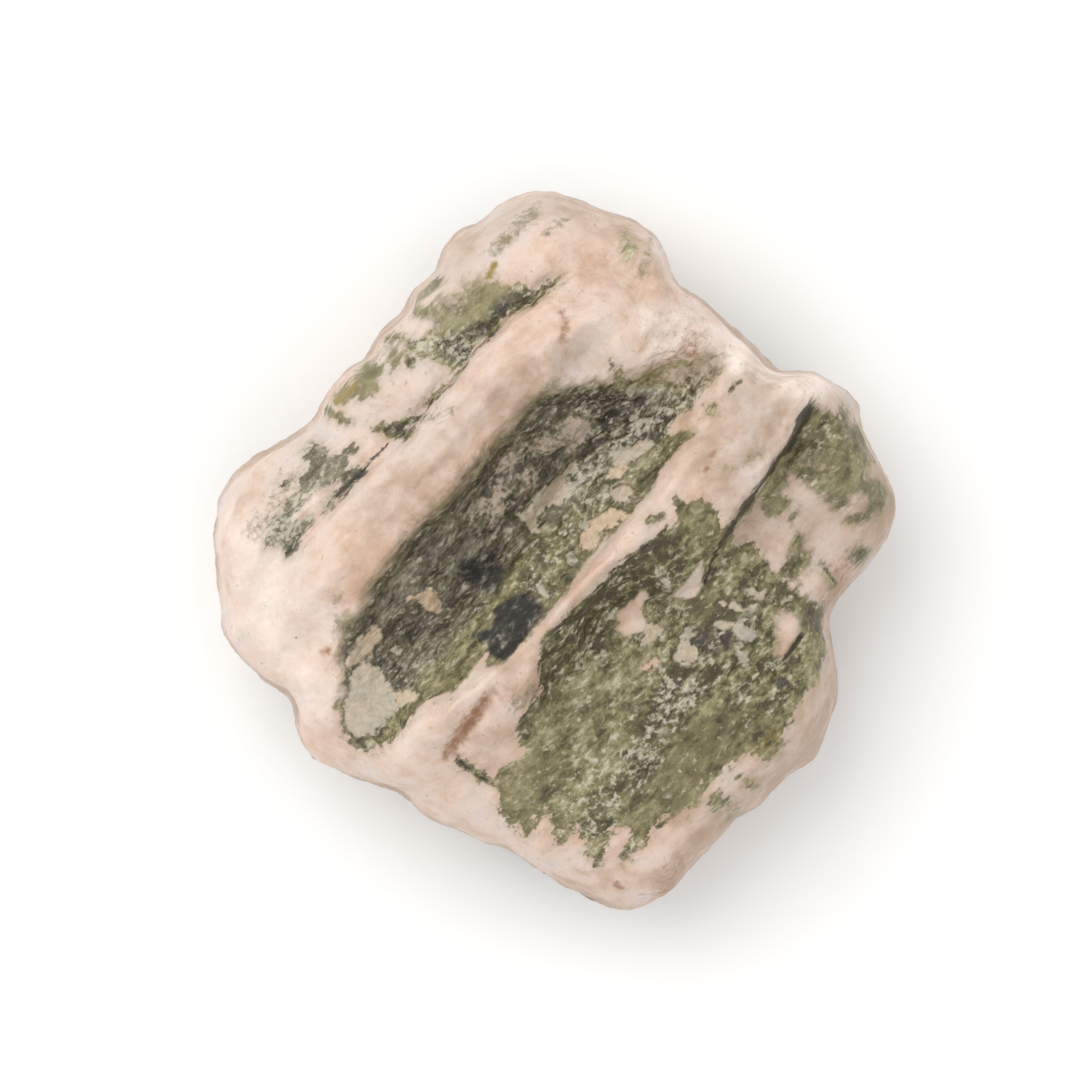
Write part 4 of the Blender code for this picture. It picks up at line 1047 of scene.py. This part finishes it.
# shares: what they are read from, where they start and are full, and the most that they reach
stoneShares = {
    "milkShare": ("milks", 0.1, 0.9, 0.9),
    "dustShare": ("dusts", 0.05, 0.95, 1.0),
    "glintShare": ("sugar", 0.56, 0.74, "glint"),
    "speckPlaces": ("clouds", 0.52, 0.66, 0.4),
    "speckShare": ("grit", 0.36, 0.28, "speckPlaces"),
    "haloShare": ("greenEdge", -0.9, 0.1, "halo"),
    "mossShare": ("mossy", 0.1, 0.65, 1.0),
    "rustShare": ("rusty", 0.1, 0.75, 1.0),
    "ochreShare": ("ochreous", 0.1, 0.75, 1.0),
    "seenThrough": ("thinness", 0.32, 0.9, 0.85),
    "gaps": ("flakes", 0.47, 0.36, "grainy"),
    "oliveShare": ("olives", 0.0, 0.8, 1.0),
    "flakePale": ("grit", 0.4, 0.62, 1.0),
    "flakeShare": ("flakeLevel", 0.66, 0.76, 0.8),
    "veilShare": ("veils", 0.32, 0.75, 0.9),
    "frostShare": ("frosty", 0.3, 0.78, 0.85),
    # painted shade: a dark hem round the pale crumbs, in places, for their gaps and the shade where they sit
    "shadePlaces": ("mottle", 0.44, 0.58, 0.6),
    "crumbShade": ("paleEdge", -0.45, -0.03, "shadePlaces"),
    "paleShare": ("paleEdge", -0.12, 0.12, 1.0),
    "blackShare": ("blackEdge", -0.2, 0.2, 1.0),
    "crackShare": ("crackEdge", -0.04, 0.08, 0.92),
    "inGreen": ("green", -0.2, 0.2, 1.0),
}
stoneColours = {
    "feldspar": [(0.0, "#cfc1b8"), (0.3, "#d9c6ba"), (0.5, "#dbc3b3"), (0.72, "#d6b8a3"), (1.0, "#cca68b")],
    "milky": "#f2e3d8",
    # the dull feldspar's colour, also laid on as painted shade
    "dusty": "#ac937d",
    # painted highlight: the white of the glints
    "glint": "#fbf5ef",
    "speck": "#a08869",
    "halo": "#96866c",
    "moss": "#8b8266",
    "rust": "#a0775a",
    "ochre": "#94803c",
    "grey": [
        (0.0, "#3b3529"), (0.2, "#564f3f"), (0.4, "#706957"), (0.6, "#8d8674"), (0.8, "#aba392"),
        (1.0, "#c8bfaf"),
    ],
    "olive": [
        (0.0, "#3f3820"), (0.2, "#5a5332"), (0.4, "#776f4a"), (0.6, "#938b65"), (0.8, "#aea686"),
        (1.0, "#c9c0a4"),
    ],
    "darkFlake": "#a59d80",
    "paleFlake": "#cdc4af",
    "taupe": "#c2b09d",
    "frost": "#c3bdab",
    "black": [(0.35, "#292723"), (0.5, "#35322d"), (0.58, "#5a554c"), (0.66, "#938d7f")],
    "crack": "#3c3628",
    "paleGreen": "#b5ae9d",
    "palePeach": "#d2b899",
    "grime": "#3a3325",
}
# coats that lie over the minerals, among them painted highlights, the glints, and painted shade, on the dull
# feldspar, the shaded feldspar and round the crumbs: their colours, and the shares that they cover
stoneCoats = {
    "feldspar": {
        "milky": "milkShare", "dusty": "dustShare", "glint": "glintShare", "speck": "speckShare",
        "halo": "haloShare", "moss": "mossShare", "rust": "rustShare",
    },
    "tourmaline": {"taupe": "veilShare", "frost": "frostShare", "grime": "crumbShade"},
    "stone": {"ochre": "ochreShare", "grime": "grime", "crack": "crackShare"},
}
# what lightens and darkens the tourmaline: a noise, its weight, and the channel that it goes with
stoneGrain = (("fibres", 1.1, "fibrous"), ("grit", 1.5, "grainy"), ("crystals", 0.5, "grainy"))
stoneFinish = {
    "gapLight": -0.28,
    "grainyFlakes": 0.14,
    "crumbLight": {"From Min": 0.3, "From Max": 0.7, "To Min": 0.72, "To Max": 1.1},
    "feldsparRough": {"To Min": 0.34, "To Max": 0.62},
    "greenRough": {"To Min": 0.3, "To Max": 0.6},
    "blackRough": 0.8,
    "bumpHeight": 0.2,  # mm, of the noises, which are weighted so:
    "sugarWeight": 0.25,
    "gritWeight": 0.7,
    "crystalWeight": 0.35,
    "depthWeight": {"To Min": 0.3, "To Max": 0.03},  # light enters the feldspar more than the tourmaline
    "depthRadius": (1.0, 0.62, 0.45),
    "depthScale": 0.9,  # mm
    "ior": 1.53,  # feldspar
}


def stoneMaterial(channelNames):
    # Microcline feldspar, broken: waxy and a little translucent, with cloudy pink and peach in it, small
    # cleavage glints, painted in as white flecks, and a soft sheen. In it grows tourmaline, broken across its
    # fibres: glassy grey-green blades and grains with pale flakes, and a few black crystals. Iron leaves
    # rusty and ochre stains.
    # Shade is painted into the colour too, on the rims, the trough's wall, under the thin ridge and round the
    # crumbs.
    colours = stoneColours
    finish = stoneFinish
    material = bpy.data.materials.new("feldsparWithTourmaline")
    material.use_nodes = True
    tree = material.node_tree
    shader = tree.nodes["Principled BSDF"]
    blend = {"data_type": "RGBA"}
    multiplyAdd = {"operation": "MULTIPLY_ADD"}

    objectPlace = add(tree, "TexCoord", {}, {}, out=3)
    place = add(tree, "Mapping", {"Scale": (1 / mm, 1 / mm, 1 / mm)}, {"Vector": objectPlace})
    turned = add(tree, "Mapping", {"Rotation": (0, 0, -grainTurn)}, {"Vector": place})
    value = {}
    for name in channelNames:
        value[name] = add(tree, "Attribute", {"attribute_name": name}, {}, out=2)
    for name, (size, detail, rough, stretch) in stoneNoises.items():
        along = add(tree, "Mapping", {"Scale": (1 / stretch, 1, 1)}, {"Vector": turned})
        settings = {"Scale": 1 / size, "Detail": detail, "Roughness": rough}
        value[name] = add(tree, "TexNoise", settings, {"Vector": along})
    along = add(tree, "Mapping", {"Scale": (1 / stoneCrystals["stretch"], 1, 1)}, {"Vector": turned})
    settings = {"Scale": 1 / stoneCrystals["size"]}
    value["crystals"] = add(tree, "TexVoronoi", settings, {"Vector": along}, out=1)
    for name, (start, weights) in stoneSums.items():
        links = {} if start == "nought" else {0: value[start]}
        total = add(tree, "Math", {"operation": "SUBTRACT", 0: 0.0, 1: sum(weights.values()) / 2}, links)
        for noiseName, weight in weights.items():
            total = add(tree, "Math", {**multiplyAdd, 1: weight}, {0: value[noiseName], 2: total})
        value[name] = total
    settings = {**multiplyAdd, 1: finish["grainyFlakes"]}
    value["flakeLevel"] = add(tree, "Math", settings, {0: value["grainy"], 2: value["flakes"]})
    for name, (distance, amount) in stoneEdges.items():
        settings = dict(multiplyAdd)
        links = {0: value["edgeMove"], 2: value[distance]}
        if isinstance(amount, str):
            links[1] = value[amount]
        else:
            settings[1] = amount
        value[name] = add(tree, "Math", settings, links)
    for name, (source, low, high, most) in stoneShares.items():
        settings = {"interpolation_type": "SMOOTHSTEP", "From Min": low, "From Max": high}
        links = {"Value": value[source]}
        if isinstance(most, str):
            links["To Max"] = value[most]
        else:
            settings["To Max"] = most
        value[name] = add(tree, "MapRange", settings, links)

    # feldspar
    feldspar = add(tree, "ValToRGB", {"stops": colours["feldspar"]}, {0: value["warmClouds"]})
    for name, share in stoneCoats["feldspar"].items():
        settings = {**blend, 7: toLinear(colours[name])}
        feldspar = add(tree, "Mix", settings, {0: value[share], 6: feldspar}, out=2)

    # tourmaline: light from its tone, from fibres, and from the grit and crystals where it is grainy
    light = value["light"]
    for name, weight, amount in stoneGrain:
        centred = add(tree, "Math", {**multiplyAdd, 1: weight, 2: -weight / 2}, {0: value[name]})
        light = add(tree, "Math", multiplyAdd, {0: centred, 1: value[amount], 2: light})
    light = add(tree, "Math", {**multiplyAdd, 1: finish["gapLight"]}, {0: value["gaps"], 2: light})
    light = add(tree, "Mix", {}, {0: value["calm"], 2: light, 3: value["tone"]})
    grey = add(tree, "ValToRGB", {"stops": colours["grey"]}, {0: light})
    olive = add(tree, "ValToRGB", {"stops": colours["olive"]}, {0: light})
    tourmaline = add(tree, "Mix", blend, {0: value["oliveShare"], 6: grey, 7: olive}, out=2)
    settings = {**blend, 6: toLinear(colours["darkFlake"]), 7: toLinear(colours["paleFlake"])}
    flake = add(tree, "Mix", settings, {0: value["flakePale"]}, out=2)
    tourmaline = add(tree, "Mix", blend, {0: value["flakeShare"], 6: tourmaline, 7: flake}, out=2)
    for name, share in stoneCoats["tourmaline"].items():
        settings = {**blend, 7: toLinear(colours[name])}
        tourmaline = add(tree, "Mix", settings, {0: value[share], 6: tourmaline}, out=2)

    # black tourmaline and pale crumbs
    black = add(tree, "ValToRGB", {"stops": colours["black"]}, {0: value["flakes"]})
    settings = {**blend, 6: toLinear(colours["paleGreen"]), 7: toLinear(colours["palePeach"])}
    pale = add(tree, "Mix", settings, {0: value["crumbTint"]}, out=2)
    crumbLight = add(tree, "MapRange", finish["crumbLight"], {"Value": value["crumble"]})
    pale = add(tree, "Mix", {**blend, "blend_type": "MULTIPLY", 0: 1.0}, {6: pale, 7: crumbLight}, out=2)

    softEdge = add(tree, "Math", {"operation": "DIVIDE"}, {0: value["greenEdge"], 1: value["soft"]})
    settings = {"interpolation_type": "SMOOTHSTEP", "From Min": -1, "From Max": 1}
    greenShare = add(tree, "MapRange", settings, {"Value": softEdge})
    opaque = add(tree, "Math", {"operation": "SUBTRACT", 0: 1.0}, {1: value["seenThrough"]})
    greenShare = add(tree, "Math", {"operation": "MULTIPLY"}, {0: greenShare, 1: opaque})
    colour = add(tree, "Mix", blend, {0: greenShare, 6: feldspar, 7: tourmaline}, out=2)
    colour = add(tree, "Mix", blend, {0: value["paleShare"], 6: colour, 7: pale}, out=2)
    colour = add(tree, "Mix", blend, {0: value["blackShare"], 6: colour, 7: black}, out=2)
    for name, share in stoneCoats["stone"].items():
        colour = add(tree, "Mix", {**blend, 7: toLinear(colours[name])}, {0: value[share], 6: colour}, out=2)
    tree.links.new(colour, shader.inputs["Base Color"])

    feldsparRough = add(tree, "MapRange", finish["feldsparRough"], {"Value": value["mottle"]})
    greenRough = add(tree, "MapRange", finish["greenRough"], {"Value": value["grit"]})
    roughness = add(tree, "Mix", {}, {0: value["inGreen"], 2: feldsparRough, 3: greenRough})
    roughness = add(tree, "Mix", {3: finish["blackRough"]}, {0: value["blackShare"], 2: roughness})
    tree.links.new(roughness, shader.inputs["Roughness"])

    settings = {**multiplyAdd, 1: finish["sugarWeight"]}
    feldsparHeight = add(tree, "Math", settings, {0: value["sugar"], 2: value["mottle"]})
    links = {0: value["crumble"], 1: value["bumpy"], 2: feldsparHeight}
    feldsparHeight = add(tree, "Math", multiplyAdd, links)
    settings = {**multiplyAdd, 1: finish["gritWeight"]}
    greenHeight = add(tree, "Math", settings, {0: value["grit"], 2: value["flakes"]})
    settings = {**multiplyAdd, 1: finish["crystalWeight"]}
    greenHeight = add(tree, "Math", settings, {0: value["crystals"], 2: greenHeight})
    height = add(tree, "Mix", {}, {0: value["inGreen"], 2: feldsparHeight, 3: greenHeight})
    bump = add(tree, "Bump", {"Strength": 1.0, "Distance": finish["bumpHeight"] * mm}, {"Height": height})
    tree.links.new(bump, shader.inputs["Normal"])

    depth = add(tree, "MapRange", finish["depthWeight"], {"Value": value["inGreen"]})
    tree.links.new(depth, shader.inputs["Subsurface Weight"])
    shader.inputs["Subsurface Radius"].default_value = finish["depthRadius"]
    shader.inputs["Subsurface Scale"].default_value = finish["depthScale"] * mm
    shader.inputs["IOR"].default_value = finish["ior"]
    shader.inputs["Metallic"].default_value = 0.0
    return material


def buildStone():
    data = fineMesh()
    points = readVectors(data.vertices, "co") / mm
    normals = readVectors(data.vertex_normals, "vector")
    print("mesh refined:", len(points), "points")
    channels = mineralMap(points, normals)
    print("minerals mapped")
    out, up = relief(points, channels)
    points += normals * out[:, None]
    points[:, 2] += up
    points[:, 2] = np.maximum(points[:, 2], 0)
    data.vertices.foreach_set("co", (points * mm).astype(np.float32).ravel())
    for name, values in channels.items():
        attribute = data.attributes.new(name, "FLOAT", "POINT")
        attribute.data.foreach_set("value", values.astype(np.float32))
    data.shade_smooth()
    data.materials.append(stoneMaterial(list(channels)))
    stone = bpy.data.objects.new("greenTourmaline", data)
    bpy.context.scene.collection.objects.link(stone)
    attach(stone, "root")
    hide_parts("stone")
    print("stone built:", len(data.polygons), "triangles")


buildStone()
